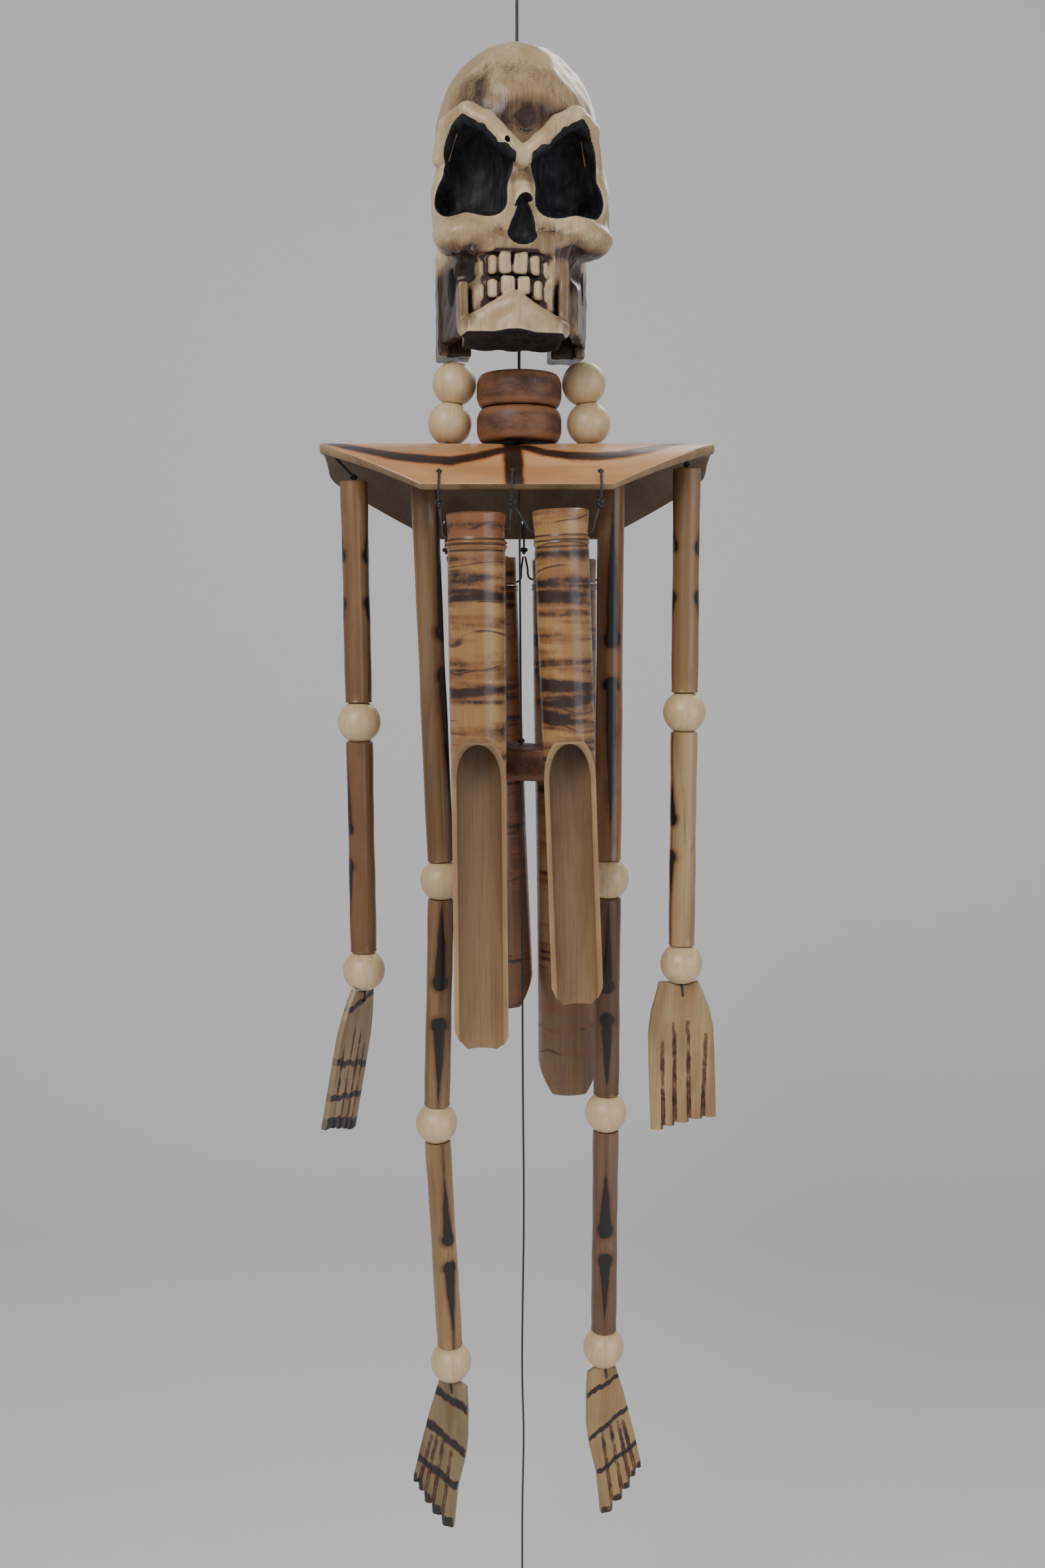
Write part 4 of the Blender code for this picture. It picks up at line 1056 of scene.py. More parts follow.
LIMB_STEPS = 40
LIMB_ROWS = 24
LIMB_END_ROWS = (0, *range(LIMB_ROWS + 5, LIMB_ROWS + 10))
LIMB_TONES = {
    "left_upper_arm": (0.25, 0.135, 0.060), "left_forearm": (0.24, 0.125, 0.055),
    "left_thigh": (0.235, 0.140, 0.066), "left_shin": (0.25, 0.150, 0.066),
    "left_lower_leg": (0.36, 0.225, 0.098), "right_upper_arm": (0.35, 0.220, 0.098),
    "right_forearm": (0.41, 0.275, 0.135), "right_thigh": (0.31, 0.170, 0.070),
    "right_shin": (0.155, 0.085, 0.048), "right_lower_leg": (0.195, 0.115, 0.065),
}
LIMB_BURNS = {
    "left_upper_arm": ((-72, 0.050, 0.074, 0.014, 0.0030), (70, 0.050, 0.074, 0.014, 0.0030)),
    "left_forearm": ((-60, 0.046, 0.066, 0.034, 0.0030),),
    "left_thigh": ((62, 0.096, 0.118, 0.082, 0.0036),),
    "left_shin": ((8, 0.045, 0.068, 0.052, 0.0036),),
    "left_lower_leg": ((24, 0.046, 0.062, 0.044, 0.0030),),
    "right_upper_arm": ((66, 0.048, 0.073, 0.012, 0.0030), (-74, 0.048, 0.074, 0.012, 0.0026)),
    "right_forearm": ((-66, 0.047, 0.067, 0.026, 0.0030),),
    "right_thigh": ((6, 0.091, 0.114, 0.086, 0.0036),),
    "right_shin": ((0, 0.042, 0.060, 0.050, 0.0034),),
    "right_lower_leg": ((0, 0.042, 0.059, 0.044, 0.0034),),
}


def limb_profile(length, radius):
    """A tube's wall: rounded sawn ends, a countersunk bore, and a slight natural swell."""
    profile = [(0.0052, 0.0), (radius - 0.0006, 0.0), (radius - 0.0001, -0.0005)]
    for i in range(LIMB_ROWS + 1):
        t = i / LIMB_ROWS
        swell = 0.00012 * math.sin(9 * t + 1) + 0.00008 * math.sin(23 * t)
        profile.append((radius - 0.0002 + swell, -0.0012 - (length - 0.0024) * t))
    profile += [(radius - 0.0001, 0.0005 - length), (radius - 0.0006, -length),
                (0.0052, -length), (0.00175, 0.0015 - length), (0.00175, -0.0015)]
    return profile


def limb_tube(node, body, slot, upper, lower, first, shift, sawn):
    """One bamboo tube between two pivots."""
    along = lower - upper
    reach = TIE_REACH if first else BEAD_REACH
    length = along.length - reach - BEAD_REACH
    turn = Vector((0, 0, -1)).rotation_difference(along).to_matrix().to_4x4()
    matrix = Matrix.Translation(upper) @ turn @ Matrix.Translation((0, 0, -reach))
    mesh = turned(f"{node}_bamboo", limb_profile(length, LIMB_R), LIMB_STEPS, matrix)
    offset = vertices_of(mesh) - np.array(upper)
    axis = np.array(along.normalized())
    local = offset @ axis - reach
    paint(mesh, "along", local)
    paint(mesh, "shade", ease(np.minimum(local, length - local), 0.0, 0.002) * 0.8)
    paint(mesh, "across", offset[:, 0] - (local + reach) * axis[0])
    paint(mesh, "depth", offset[:, 1] - (local + reach) * axis[1])
    add_piece(f"{node}_bamboo", mesh, body, slot, node,
              materials=[limb_bamboo(node, length, shift), sawn])
    for polygon in mesh.polygons:
        if polygon.index // LIMB_STEPS in LIMB_END_ROWS:
            polygon.material_index = 1


def limb_bamboo(node, length, shift):
    """The skin of one limb tube in its own tone, with its own torch burns."""
    pale = LIMB_TONES[node]
    return bamboo(f"{node}_skin", pale, dimmed(pale, 0.60, 0.52, 0.45), LIMB_BURNS[node], length,
                  shift)


# ---------------------------------------------------------------- hands and feet

SLAT_THICKNESS = 0.0040
SLAT_NOTCH_R = BEAD_R + 0.0004
HAND = {
    "outer": [(-0.0117, -0.0100), (-0.0130, -0.0162), (-0.0156, -0.0260), (-0.0169, -0.0371),
              (-0.0166, -0.0534)],
    "tips": [(-0.0150, -0.0082, -0.0908), (-0.0082, -0.0023, -0.0886), (-0.0023, 0.0053, -0.0863),
             (0.0053, 0.0124, -0.0840), (0.0124, 0.0195, -0.0827)],
    "inner": [(0.0088, -0.0088), (0.0118, -0.0156), (0.0151, -0.0241), (0.0173, -0.0338),
              (0.0183, -0.0534)],
    "grooves": [((-0.0095, -0.0425), (-0.0082, -0.0900)), ((-0.0033, -0.0320), (-0.0023, -0.0880)),
                ((0.0039, -0.0310), (0.0053, -0.0860)), ((0.0133, -0.0378), (0.0124, -0.0840))],
    "bands": [((-0.016, -0.012), (0.012, -0.019), 0.0022),
              ((-0.018, -0.055), (0.019, -0.046), 0.0024),
              ((-0.018, -0.0715), (0.019, -0.0655), 0.0022)],
}
FOOT = {
    "outer": [(-0.0064, -0.0104), (-0.0122, -0.0295), (-0.0183, -0.0533), (-0.0222, -0.0700)],
    "tips": [(-0.0226, -0.0198, -0.0742), (-0.0198, -0.0164, -0.0785), (-0.0164, -0.0119, -0.0850),
             (-0.0119, -0.0061, -0.0908), (-0.0061, 0.0012, -0.0965)],
    "inner": [(0.0092, -0.0129), (0.0098, -0.0250), (0.0096, -0.0430), (0.0080, -0.0550),
              (0.0038, -0.0720)],
    "grooves": [((-0.0108, -0.0440), (-0.0198, -0.0775)), ((-0.0080, -0.0440), (-0.0164, -0.0840)),
                ((-0.0038, -0.0460), (-0.0119, -0.0900)), ((0.0010, -0.0490), (-0.0061, -0.0960))],
    "bands": [((-0.010, -0.016), (0.011, -0.026), 0.0034),
              ((-0.014, -0.036), (0.011, -0.053), 0.0034),
              ((-0.020, -0.058), (0.008, -0.074), 0.0034)],
}
SLAT_TURNS = {"left_hand": (math.radians(9), math.radians(68)),
              "right_hand": (0.0, math.radians(-6)),
              "left_foot": (0.0, math.radians(-18)),
              "right_foot": (0.0, math.radians(18))}
SLAT_BURNS = {"left_hand": 0.65, "right_hand": 0.0, "left_foot": 0.62, "right_foot": 0.34}
SLAT_COLOURS = {"left_hand": (0.36, 0.25, 0.12), "right_hand": (0.41, 0.285, 0.135),
                "left_foot": (0.24, 0.185, 0.085), "right_foot": (0.38, 0.250, 0.105)}


def slat_outline(shape):
    """A closed outline: notch under the bead, one side, the stepped tips, the other side."""
    first = math.atan2(shape["inner"][0][1], shape["inner"][0][0])
    last = math.atan2(shape["outer"][0][1], shape["outer"][0][0])
    points = []
    for k in range(1, 5):
        turn = first + (last - first) * k / 5
        points.append((SLAT_NOTCH_R * math.cos(turn), SLAT_NOTCH_R * math.sin(turn)))
    points += shape["outer"]
    for low, high, z in shape["tips"]:
        points += [(low, z), (high, z)]
    return points + shape["inner"][::-1]


def outline_distance(x, z, points):
    """Distance to a closed outline in the XZ plane, below zero inside."""
    nearest = np.full(np.broadcast(x, z).shape, 1e9)
    inside = np.zeros(nearest.shape, dtype=bool)
    for (ax, az), (bx, bz) in zip(points, [*points[1:], points[0]]):
        dx, dz = bx - ax, bz - az
        t = np.clip(((x - ax) * dx + (z - az) * dz) / (dx * dx + dz * dz + 1e-12), 0, 1)
        nearest = np.minimum(nearest, np.hypot(x - ax - t * dx, z - az - t * dz))
        if dz:
            crosses = ((az <= z) != (bz <= z)) & (x < ax + (z - az) * dx / dz)
            inside ^= crosses
    return np.where(inside, -nearest, nearest)


def segment_distance(x, z, start, end):
    """Distance from points to a line between two points in the XZ plane."""
    dx, dz = end[0] - start[0], end[1] - start[1]
    t = np.clip(((x - start[0]) * dx + (z - start[1]) * dz) / (dx * dx + dz * dz), 0, 1)
    return np.hypot(x - start[0] - t * dx, z - start[1] - t * dz)


def carved_slat(node, body, kind, at, shift):
    """A hand or foot: a bamboo slat with rounded edges and carved gaps between its digits."""
    shape = HAND if kind == "hand" else FOOT
    mirror = -1 if (kind == "hand") == node.startswith("left") else 1
    outline = [(mirror * x * 1000, z * 1000) for x, z in slat_outline(shape)]
    cell = 0.45
    half = SLAT_THICKNESS * 500
    lowest = np.array([min(x for x, _ in outline) - 1, -half - 1, min(z for _, z in outline) - 1])
    highest = np.array([max(x for x, _ in outline) + 1, half + 1, max(z for _, z in outline) + 1])
    axes = [np.arange(a, b, cell) for a, b in zip(lowest, highest)]
    x, y, z = np.meshgrid(*axes, indexing="ij", sparse=True)
    flat = outline_distance(x, z, outline)
    bow = 0.0011 * (x - np.mean(x)) ** 2
    slab = np.abs(y - bow * 0.6 + 0.1) - (half - 0.15 - bow * 0.4)
    field = carve(flat, -slab, 1.1)
    for (ax, az), (bx, bz) in shape["grooves"]:
        for face in (-1, 1):
            cut = rod((x, y, z), (mirror * ax * 1000, face * half * 1.02, az * 1000),
                      (mirror * bx * 1000, face * half * 0.78, bz * 1000), 0.35, 1.25)
            field = carve(field, cut, 0.5)
    verts, quads = surface_of(field, lowest, cell)
    mesh = mesh_from_arrays(f"{node}_carved", verts, quads)
    burn_and_groove_shade, edge = slat_marks(shape, mirror, SLAT_BURNS[node], verts / 1000, flat, lowest, cell)
    tilt, turn = SLAT_TURNS[node]
    matrix = Matrix.Translation(at) @ Matrix.Rotation(tilt, 4, "Y") @ Matrix.Rotation(turn, 4, "Z")
    mesh.transform(matrix @ Matrix.Scale(MM, 4))
    paint(mesh, "scorch_and_groove_shade", burn_and_groove_shade)
    paint(mesh, "edge", edge)
    skin = slat_bamboo(f"{node}_skin", SLAT_COLOURS[node], shift)
    add_piece(f"{node}_carved", mesh, body, "slat", node, materials=[skin], sharp=180)


def slat_marks(shape, mirror, burn, verts, flat, lowest, cell):
    """Where a slat is scorched (bands and tips), where painted shade lies in its digit gaps, and
    where its side edge shows.
    """
    x, y, z = mirror * verts[:, 0], verts[:, 1], verts[:, 2]
    burn_and_groove_shade = np.zeros(len(verts))
    wave = 0.0005 * np.sin(520 * x + 2) + 0.0003 * np.sin(1500 * x)
    for start, end, half in shape["bands"]:
        if burn:
            away = segment_distance(x, z + wave, start, end)
            burn_and_groove_shade = np.maximum(burn_and_groove_shade, 0.8 * ease(away, half * burn * 2.1, half * burn * 0.2))
    for low, high, end in shape["tips"]:
        on_digit = (x >= low) & (x < high)
        burnt = ease(z, end + 0.0035 + 0.0070 * burn, end + 0.0015 + 0.0050 * burn)
        burn_and_groove_shade = np.maximum(burn_and_groove_shade, on_digit * min(1.0, 1.8 * burn) * burnt)
    # painted shade along the carved gaps between the digits; the noise turns it black in spots
    for start, end in shape["grooves"]:
        near = ease(segment_distance(x, z, start, end), 0.0020, 0.0006)
        burn_and_groove_shade = np.maximum(burn_and_groove_shade, 0.46 * near)
    margin = sampled(np.broadcast_to(flat, (flat.shape[0], 1, flat.shape[2])), verts * 1000,
                     lowest, cell)
    edge = 0.65 * ease(margin, -0.5, -0.1) * ease(np.abs(y), 0.0017, 0.0012)
    return burn_and_groove_shade, edge


# ---------------------------------------------------------------- whole limbs

def limbs():
    """Each limb in turn: tube, bead, tube, bead, and the slat at its end."""
    sawn = cut_bamboo("limb_sawn", (0.40, 0.27, 0.13), (0.23, 0.13, 0.06), 2)
    shift = 10
    for side in SIDES:
        for kind, joints, tubes, beads, slat in (
                ("arm", ("shoulder", "elbow", "wrist"), ("upper_arm", "forearm"),
                 ("elbow_bead", "wrist_bead"), "hand"),
                ("leg", ("hip", "knee", "shin_joint", "ankle"), ("thigh", "shin", "lower_leg"),
                 ("knee_bead", "shin_bead", "ankle_bead"), "foot")):
            pivots = [PIVOT[f"{side}_{joint}"] for joint in joints]
            bodies = [f"{side}_{tube}" for tube in tubes] + [f"{side}_{slat}"]
            for i, tube in enumerate(tubes):
                node = f"{side}_{tube}"
                limb_tube(node, bodies[i], kind, pivots[i], pivots[i + 1], i == 0, shift, sawn)
                wooden_bead(f"{side}_{beads[i]}", bodies[i + 1])
                shift += 3
            carved_slat(f"{side}_{slat}", bodies[-1], slat, pivots[-1], shift)
            limb_knots(side, slat, pivots[-1], bodies[-1])


def limb_knots(side, slat, pivot, body):
    """The twine that leaves the bead's bore and goes through the slat's hole."""
    top = pivot + Vector((0, 0, -BEAD_HALF_HEIGHT - GAP))
    face = Vector((0, -0.5 * SLAT_THICKNESS, 0))
    tilt, turn = SLAT_TURNS[f"{side}_{slat}"]
    matrix = Matrix.Rotation(tilt, 3, "Y") @ Matrix.Rotation(turn, 3, "Z")
    points = [top, pivot + matrix @ (face * 1.25 + Vector((0.0006, 0, -0.0128))),
              pivot + matrix @ (face * 1.30 + Vector((0.0010, 0, -0.0160))),
              pivot + matrix @ (face * 0.60 + Vector((0.0010, 0, -0.0175)))]
    add_cord(f"{side}_{slat}_twine", smooth_route(points, 0.0012), THIN_CORD_D, body)


# ---------------------------------------------------------------- shoulder plate

def plate_half_length(tilt):
    """How far the plate reaches along X at an angle from its own ridge."""
    drop = PLATE_R * (np.cos(tilt) - math.cos(PLATE_HALF_ARC))
    reach = 0.0460 + 1.83 * drop
    return join(reach, np.full_like(reach, PLATE_HALF_LENGTH), 0.004)


PLATE_BANDS = {
    "lower_left": [(-4, 27), (-7, 28), (-19, 36), (-32, 41), (-45, 39), (-58, 36), (-71, 30),
                   (-82, 23), (-92, 12)],
    "lower_right": [(3, 22), (13, 31), (26, 35), (39, 36), (51, 34), (64, 27), (74, 18), (86, 4)],
    "upper_left": [(-8, 4), (-30, 2), (-52, 5), (-74, 3), (-90, -2)],
    "upper_right": [(2, 2), (28, 4), (52, 2), (76, -4)],
}


def plate_heat(x, angle):
    """How scorched the plate's skin is: a band over its middle and sweeping lines on each side."""
    x = x / MM
    arc = PLATE_R / MM * angle
    width = 3.6 + 3.0 * ease(np.abs(arc), 14, 2)
    burn_and_groove_shade = 1.1 * ease(np.abs(x + 3.0 + 0.04 * arc), width * 1.9, width * 0.5)
    for name, points in PLATE_BANDS.items():
        half, strength = (2.8, 0.95) if "lower" in name else (1.6, 0.62)
        for mirror in (-1, 1):
            near = np.full(x.shape, 1e9)
            line = [(px, mirror * math.radians(-deg) * PLATE_R / MM) for px, deg in points]
            for (ax, az), (bx, bz) in zip(line, line[1:]):
                near = np.minimum(near, segment_distance(x, arc, (ax, az), (bx, bz)))
            burn_and_groove_shade = np.maximum(burn_and_groove_shade, strength * ease(near, half * 2.3, half * 0.35))
    return burn_and_groove_shade


def shoulder_plate():
    """The split-bamboo plate with rounded edges, drilled, and painted with its burn bands."""
    rows, columns = 110, 150
    tilt = np.linspace(-PLATE_HALF_ARC, PLATE_HALF_ARC, rows)
    across = np.linspace(-1, 1, columns)
    inset = 0.0007
    shells = []
    for depth in (0.0, PLATE_WALL):
        angle = tilt * (1 - inset / (PLATE_R * PLATE_HALF_ARC)) + PLATE_PITCH
        radius = PLATE_R - depth
        reach = plate_half_length(tilt) - inset
        x = reach[:, None] * across
        y = np.repeat((radius * np.sin(angle))[:, None], columns, axis=1)
        z = np.repeat((PLATE_AXIS_Z + radius * np.cos(angle))[:, None], columns, axis=1)
        shells.append(np.stack([x, y, z], axis=-1))
    mesh = shell_mesh("shoulder_plate_bamboo", *shells, inset)
    mesh = subtracted(mesh, plate_drills())
    verts = vertices_of(mesh)
    angle = np.arctan2(verts[:, 1], verts[:, 2] - PLATE_AXIS_Z)
    out = np.hypot(verts[:, 1], verts[:, 2] - PLATE_AXIS_Z)
    paint(mesh, "scorch_and_groove_shade", plate_heat(verts[:, 0], angle))
    paint(mesh, "shade", 0.75 * ease(out, PLATE_R - PLATE_WALL * 0.75, PLATE_R - PLATE_WALL))
    skin_from_depth(mesh, out - PLATE_R, 0.0006)
    cut = cut_bamboo("plate_cut", (0.42, 0.30, 0.15), (0.24, 0.15, 0.07), 6)
    add_piece("shoulder_plate_bamboo", mesh, "shoulders", "plate", "shoulder_plate",
              materials=[plate_bamboo(), cut])


def shell_mesh(name, outer, inner, soft):
    """A closed shell between two point grids, with its rim rounded by a middle ring."""
    rows, columns = outer.shape[:2]
    count = rows * columns
    index = np.arange(count).reshape(rows, columns)
    front = np.stack([index[:-1, :-1], index[1:, :-1], index[1:, 1:], index[:-1, 1:]], -1)
    quads = [front.reshape(-1, 4)[:, ::-1], front.reshape(-1, 4) + count]
    ring = np.concatenate([index[0, :], index[1:, -1], index[-1, -2::-1], index[-2:0:-1, 0]])
    edge_outer = outer.reshape(-1, 3)[ring]
    edge_inner = inner.reshape(-1, 3)[ring]
    centre = outer.reshape(-1, 3).mean(axis=0)
    layers = [edge_outer * 0.86 + edge_inner * 0.14, edge_outer * 0.14 + edge_inner * 0.86]
    away = edge_outer - centre
    away[:, 2] = 0
    away /= np.linalg.norm(away, axis=1)[:, None]
    verts = np.concatenate([outer.reshape(-1, 3), inner.reshape(-1, 3),
                            *[layer + away * soft for layer in layers]])
    loops = [ring, 2 * count + np.arange(len(ring)), 2 * count + len(ring) + np.arange(len(ring)),
             ring + count]
    for a, b in zip(loops, loops[1:]):
        quads.append(np.stack([a, np.roll(a, -1), np.roll(b, -1), b], axis=1))
    return fixed_normals(mesh_from_arrays(name, verts, np.concatenate(quads)))


def fixed_normals(mesh):
    """The same mesh with its faces pointing out."""
    bm = bmesh.new()
    bm.from_mesh(mesh)
    bmesh.ops.recalc_face_normals(bm, faces=bm.faces)
    bm.to_mesh(mesh)
    bm.free()
    return mesh


def plate_drills():
    """Cutters for the plate: through holes for the loops, stepped holes for the limbs' ties."""
    drills = []
    for angle, xs in ((FRONT_HOLE_ANGLE, FRONT_KNOT_X.values()),
                      (BACK_HOLE_ANGLE, BACK_KNOT_X.values()), (0, (CENTRE_X,))):
        out = Vector((0, math.sin(angle), math.cos(angle)))
        turn = Vector((0, 0, 1)).rotation_difference(out).to_matrix().to_4x4()
        for x in xs:
            middle = Vector((x, 0, PLATE_AXIS_Z)) + out * (PLATE_R - PLATE_WALL / 2)
            drills.append(drill(CORD_HOLE_R, Matrix.Translation(middle) @ turn))
    stepped = [(AXIS_R, TIE_SINK_DEPTH), (TIE_SINK_R, TIE_SINK_DEPTH),
               (TIE_SINK_R, -TIE_SINK_DEPTH), (CORD_HOLE_R, -TIE_SINK_DEPTH),
               (CORD_HOLE_R, -2 * PLATE_WALL), (AXIS_R, -2 * PLATE_WALL)]
    for x in TIE_HOLE_X.values():
        drills.append(turned("drill", stepped, 20, Matrix.Translation((x, 0, PLATE_TOP_Z))))
    return drills


def subtracted(mesh, cutters):
    """A mesh less several cutters' meshes."""
    base = link_object("base", mesh)
    tools = [link_object("cutter", cutter) for cutter in cutters]
    for tool in tools:
        change = base.modifiers.new("cut", "BOOLEAN")
        change.operation = "DIFFERENCE"
        change.solver = "EXACT"
        change.object = tool
    bpy.context.view_layer.update()
    depsgraph = bpy.context.evaluated_depsgraph_get()
    made = bpy.data.meshes.new_from_object(base.evaluated_get(depsgraph), depsgraph=depsgraph)
    for obj in (base, *tools):
        bpy.data.objects.remove(obj, do_unlink=True)
    return made


def drill(radius, matrix):
    """A cutter for one round hole along its own Z."""
    reach = 0.01
    profile = [(AXIS_R, reach), (radius, reach), (radius, -reach), (AXIS_R, -reach)]
    return turned("drill", profile, 20, matrix)


def skin_from_depth(mesh, depth, margin):
    """Give a face the second material where its vertices lie deeper than the margin."""
    counts = np.empty(len(mesh.polygons), dtype=np.int32)
    mesh.polygons.foreach_get("loop_total", counts)
    corners = np.empty(len(mesh.loops), dtype=np.int32)
    mesh.loops.foreach_get("vertex_index", corners)
    starts = np.concatenate([[0], np.cumsum(counts)[:-1]])
    deepest = np.minimum.reduceat(depth[corners], starts)
    mesh.polygons.foreach_set("material_index", (deepest < -margin).astype(np.int32))


# ---------------------------------------------------------------- chime tubes

CHIME_WALL = 0.0030
CHIME_STEPS = 72
SCOOP_RUN_IN = 0.0280
DOUBLE_RING = ((0.0022, 0.30), (0.0017, 0.95), (0.0012, 1.0), (0.0007, 0.55), (0.0002, 0.50),
               (-0.0003, 0.90), (-0.0009, 0.90), (-0.0015, 0.40), (-0.0026, 0.10))
CHIMES = {
    "front_left": {"rim": (-0.0193, -0.2844), "foot": (-0.0175, -0.5485), "y": -0.0430,
                   "radius": 0.0139, "holes": (0.0116, 0.0090), "scoop": 0.1035,
                   "chamfers": (0.0175, 0.0120), "faces": -1, "collar": (1.025, 0.975, 1.065),
                   "pale": (0.45, 0.280, 0.108), "deep": (0.31, 0.165, 0.060),
                   "marks": (0.84, 0.45, 0.95, 0.10, 0.0170),
                   "rings": ((0.0062, 0.0034), (0.0215, 0.0032))},
    "front_right": {"rim": (0.0206, -0.2828), "foot": (0.0302, -0.5253), "y": -0.0430,
                    "radius": 0.0131, "holes": (0.0100, 0.0114), "scoop": 0.1045,
                    "chamfers": (0.0150, 0.0150), "faces": -1, "collar": (1.025, 0.965, 1.020),
                    "pale": (0.46, 0.285, 0.110), "deep": (0.32, 0.170, 0.060),
                    "marks": (1.06, 0.00, 0.60, 0.14, 0.0001), "rings": ((0.0205, 0.0042),)},
    "back_left": {"rim": (-0.0178, -0.3007), "foot": (-0.0075, -0.5472), "y": 0.0485,
                  "radius": 0.0170, "holes": (0.0130, 0.0140), "scoop": 0.1000,
                  "chamfers": (0.0170, 0.0200), "faces": 1, "collar": (1.000, 0.980, 1.030),
                  "pale": (0.200, 0.098, 0.048), "deep": (0.085, 0.034, 0.018),
                  "marks": (0.80, 0.50, 0.30, 0.0, 0.0200), "rings": ((0.0210, 0.0030),)},
    "back_right": {"rim": (0.0252, -0.3014), "foot": (0.0288, -0.5967), "y": 0.0485,
                   "radius": 0.0174, "holes": (0.0110, 0.0118), "scoop": 0.1180,
                   "chamfers": (0.0200, 0.0190), "faces": 1, "collar": (1.000, 0.980, 1.030),
                   "pale": (0.260, 0.160, 0.080), "deep": (0.120, 0.062, 0.030),
                   "marks": (0.85, 0.50, 0.25, 0.0, 0.0150), "rings": ((0.0200, 0.0030),)},
}


def chime_line(spec):
    """The middle of a tube's rim, the tube's length and its lean about Y."""
    top = Vector((spec["rim"][0], spec["y"], spec["rim"][1]))
    along = Vector((spec["foot"][0], spec["y"], spec["foot"][1])) - top
    return top, along.length, math.atan2(-along.x, -along.z)


def chime_profile(radius, length, septum, collar):
    """A culm with its node: a flared collar, a double ring round the septum, and sawn ends.

    collar is the radius at the rim, just above the ring and on the ring, as shares of the tube's.
    """
    inner = radius - CHIME_WALL
    rim, neck, ring = (radius * share for share in collar)
    profile = [(AXIS_R, -septum), (inner - 0.0015, -septum), (inner, -septum + 0.0015),
               (inner, -0.0008), (inner + 0.0006, 0.0), (rim - 0.0008, 0.0), (rim, -0.0007)]
    for i in range(1, 9):
        t = i / 8
        profile.append((rim + (neck - rim) * ease(t, 0, 1), -0.0007 - (septum - 0.0035) * t))
    for drop, share in DOUBLE_RING:
        profile.append((neck + (ring - neck) * share, drop - septum))
    steps = 44
    start = septum + 0.0040
    for i in range(steps + 1):
        t = i / steps
        sway = 0.00018 * math.sin(7 * t + 0.6) - 0.0004 * t
        profile.append((radius * 0.985 + sway, -start - (length - start - 0.0008) * t))
    profile += [(radius - 0.0012, -length), (inner + 0.0002, -length), (inner, -length + 0.0008),
                (inner, -septum - 0.0055), (inner - 0.0015, -septum - 0.0040),
                (AXIS_R, -septum - 0.0040)]
    return profile


def scoop_cutter(radius, start, length, faces):
    """The cutter that opens one side: a slanting run-in, then straight down the middle."""
    side = []
    for i in range(25):
        t = i / 24
        side.append((faces * radius * 1.04 * (1 - t) ** 1.3, -start - SCOOP_RUN_IN * t))
    side += [(0, -length - 0.01), (faces * radius * 1.6, -length - 0.01),
             (faces * radius * 1.6, -start)]
    return slab(side, "x", radius * 1.6)


def chamfer_cutter(radius, side, height, length):
    """The cutter that takes one bottom corner off along a shallow curve."""
    run = radius * 0.48
    outline = []
    for i in range(9):
        t = i / 8
        outline.append((side * (radius + 0.0004 - (run + 0.0004) * t ** 1.6),
                        -length + height * (1 - t)))
    outline += [(side * (radius - run), -length - 0.01), (side * radius * 2, -length - 0.01),
                (side * radius * 2, -length + height)]
    return slab(outline, "y", radius * 2)


def slab(outline, axis, half):
    """An outline of (across, z) drawn out to both sides along X or Y."""
    bm = bmesh.new()
    rings = []
    for offset in (-half, half):
        ring = []
        for a, z in outline:
            ring.append(bm.verts.new((offset, a, z) if axis == "x" else (a, offset, z)))
        rings.append(ring)
    bm.faces.new(rings[0])
    bm.faces.new(rings[1][::-1])
    for i in range(len(outline)):
        j = (i + 1) % len(outline)
        bm.faces.new((rings[0][i], rings[1][i], rings[1][j], rings[0][j]))
    bmesh.ops.recalc_face_normals(bm, faces=bm.faces)
    mesh = bpy.data.meshes.new("slab")
    bm.to_mesh(mesh)
    bm.free()
    return mesh


def chime_tube(name, spec, shift):
    """One tuned tube, with its skin, its sawn and scooped faces, and its drilled holes."""
    top, length, lean = chime_line(spec)
    radius = spec["radius"]
    septum = max(spec["holes"]) + 0.0036
    mesh = turned(name, chime_profile(radius, length, septum, spec["collar"]), CHIME_STEPS,
                  Matrix.Rotation(math.pi / CHIME_STEPS, 4, "Z"), close=False)
    mesh = fixed_normals(closed_ends(mesh))
    cutters = [scoop_cutter(radius, spec["scoop"], length, spec["faces"])]
    for side, height, hole in zip((-1, 1), spec["chamfers"], spec["holes"]):
        cutters.append(chamfer_cutter(radius, side, height, length))
        turn = Matrix.Translation((side * radius, 0, -hole)) @ Matrix.Rotation(math.pi / 2, 4, "Y")
        cutters.append(drill(CORD_HOLE_R, turn))
    mesh = subtracted(mesh, cutters)
    verts = vertices_of(mesh)
    out = np.hypot(verts[:, 0], verts[:, 1])
    skin_from_depth(mesh, out - radius, 0.0013)
    paint(mesh, "along", -verts[:, 2])
    inside = ease(out, radius - CHIME_WALL * 0.4, radius - CHIME_WALL)
    deep = ease(-verts[:, 2], spec["scoop"] + 0.020, spec["scoop"] - 0.004)
    paint(mesh, "shade", inside * (0.25 + 0.6 * deep))
    mesh.transform(Matrix.Translation(top) @ Matrix.Rotation(lean, 4, "Y"))
    # lines of painted shade where the double ring meets collar and tube, and between its two ridges
    groove_shades = (septum - 0.0028, septum - 0.0004, septum + 0.0024)
    skin = tiger_bamboo(f"chime_{name}_skin", spec["pale"], spec["deep"], *spec["marks"], shift,
                        spec["rings"], groove_shades)
    cut = cut_bamboo(f"chime_{name}_cut", (0.42, 0.265, 0.130), (0.29, 0.165, 0.078), shift)
    add_piece(f"chime_{name}_bamboo", mesh, f"chime_{name}", "chime", f"chime_{name}",
              materials=[skin, cut], sharp=35)


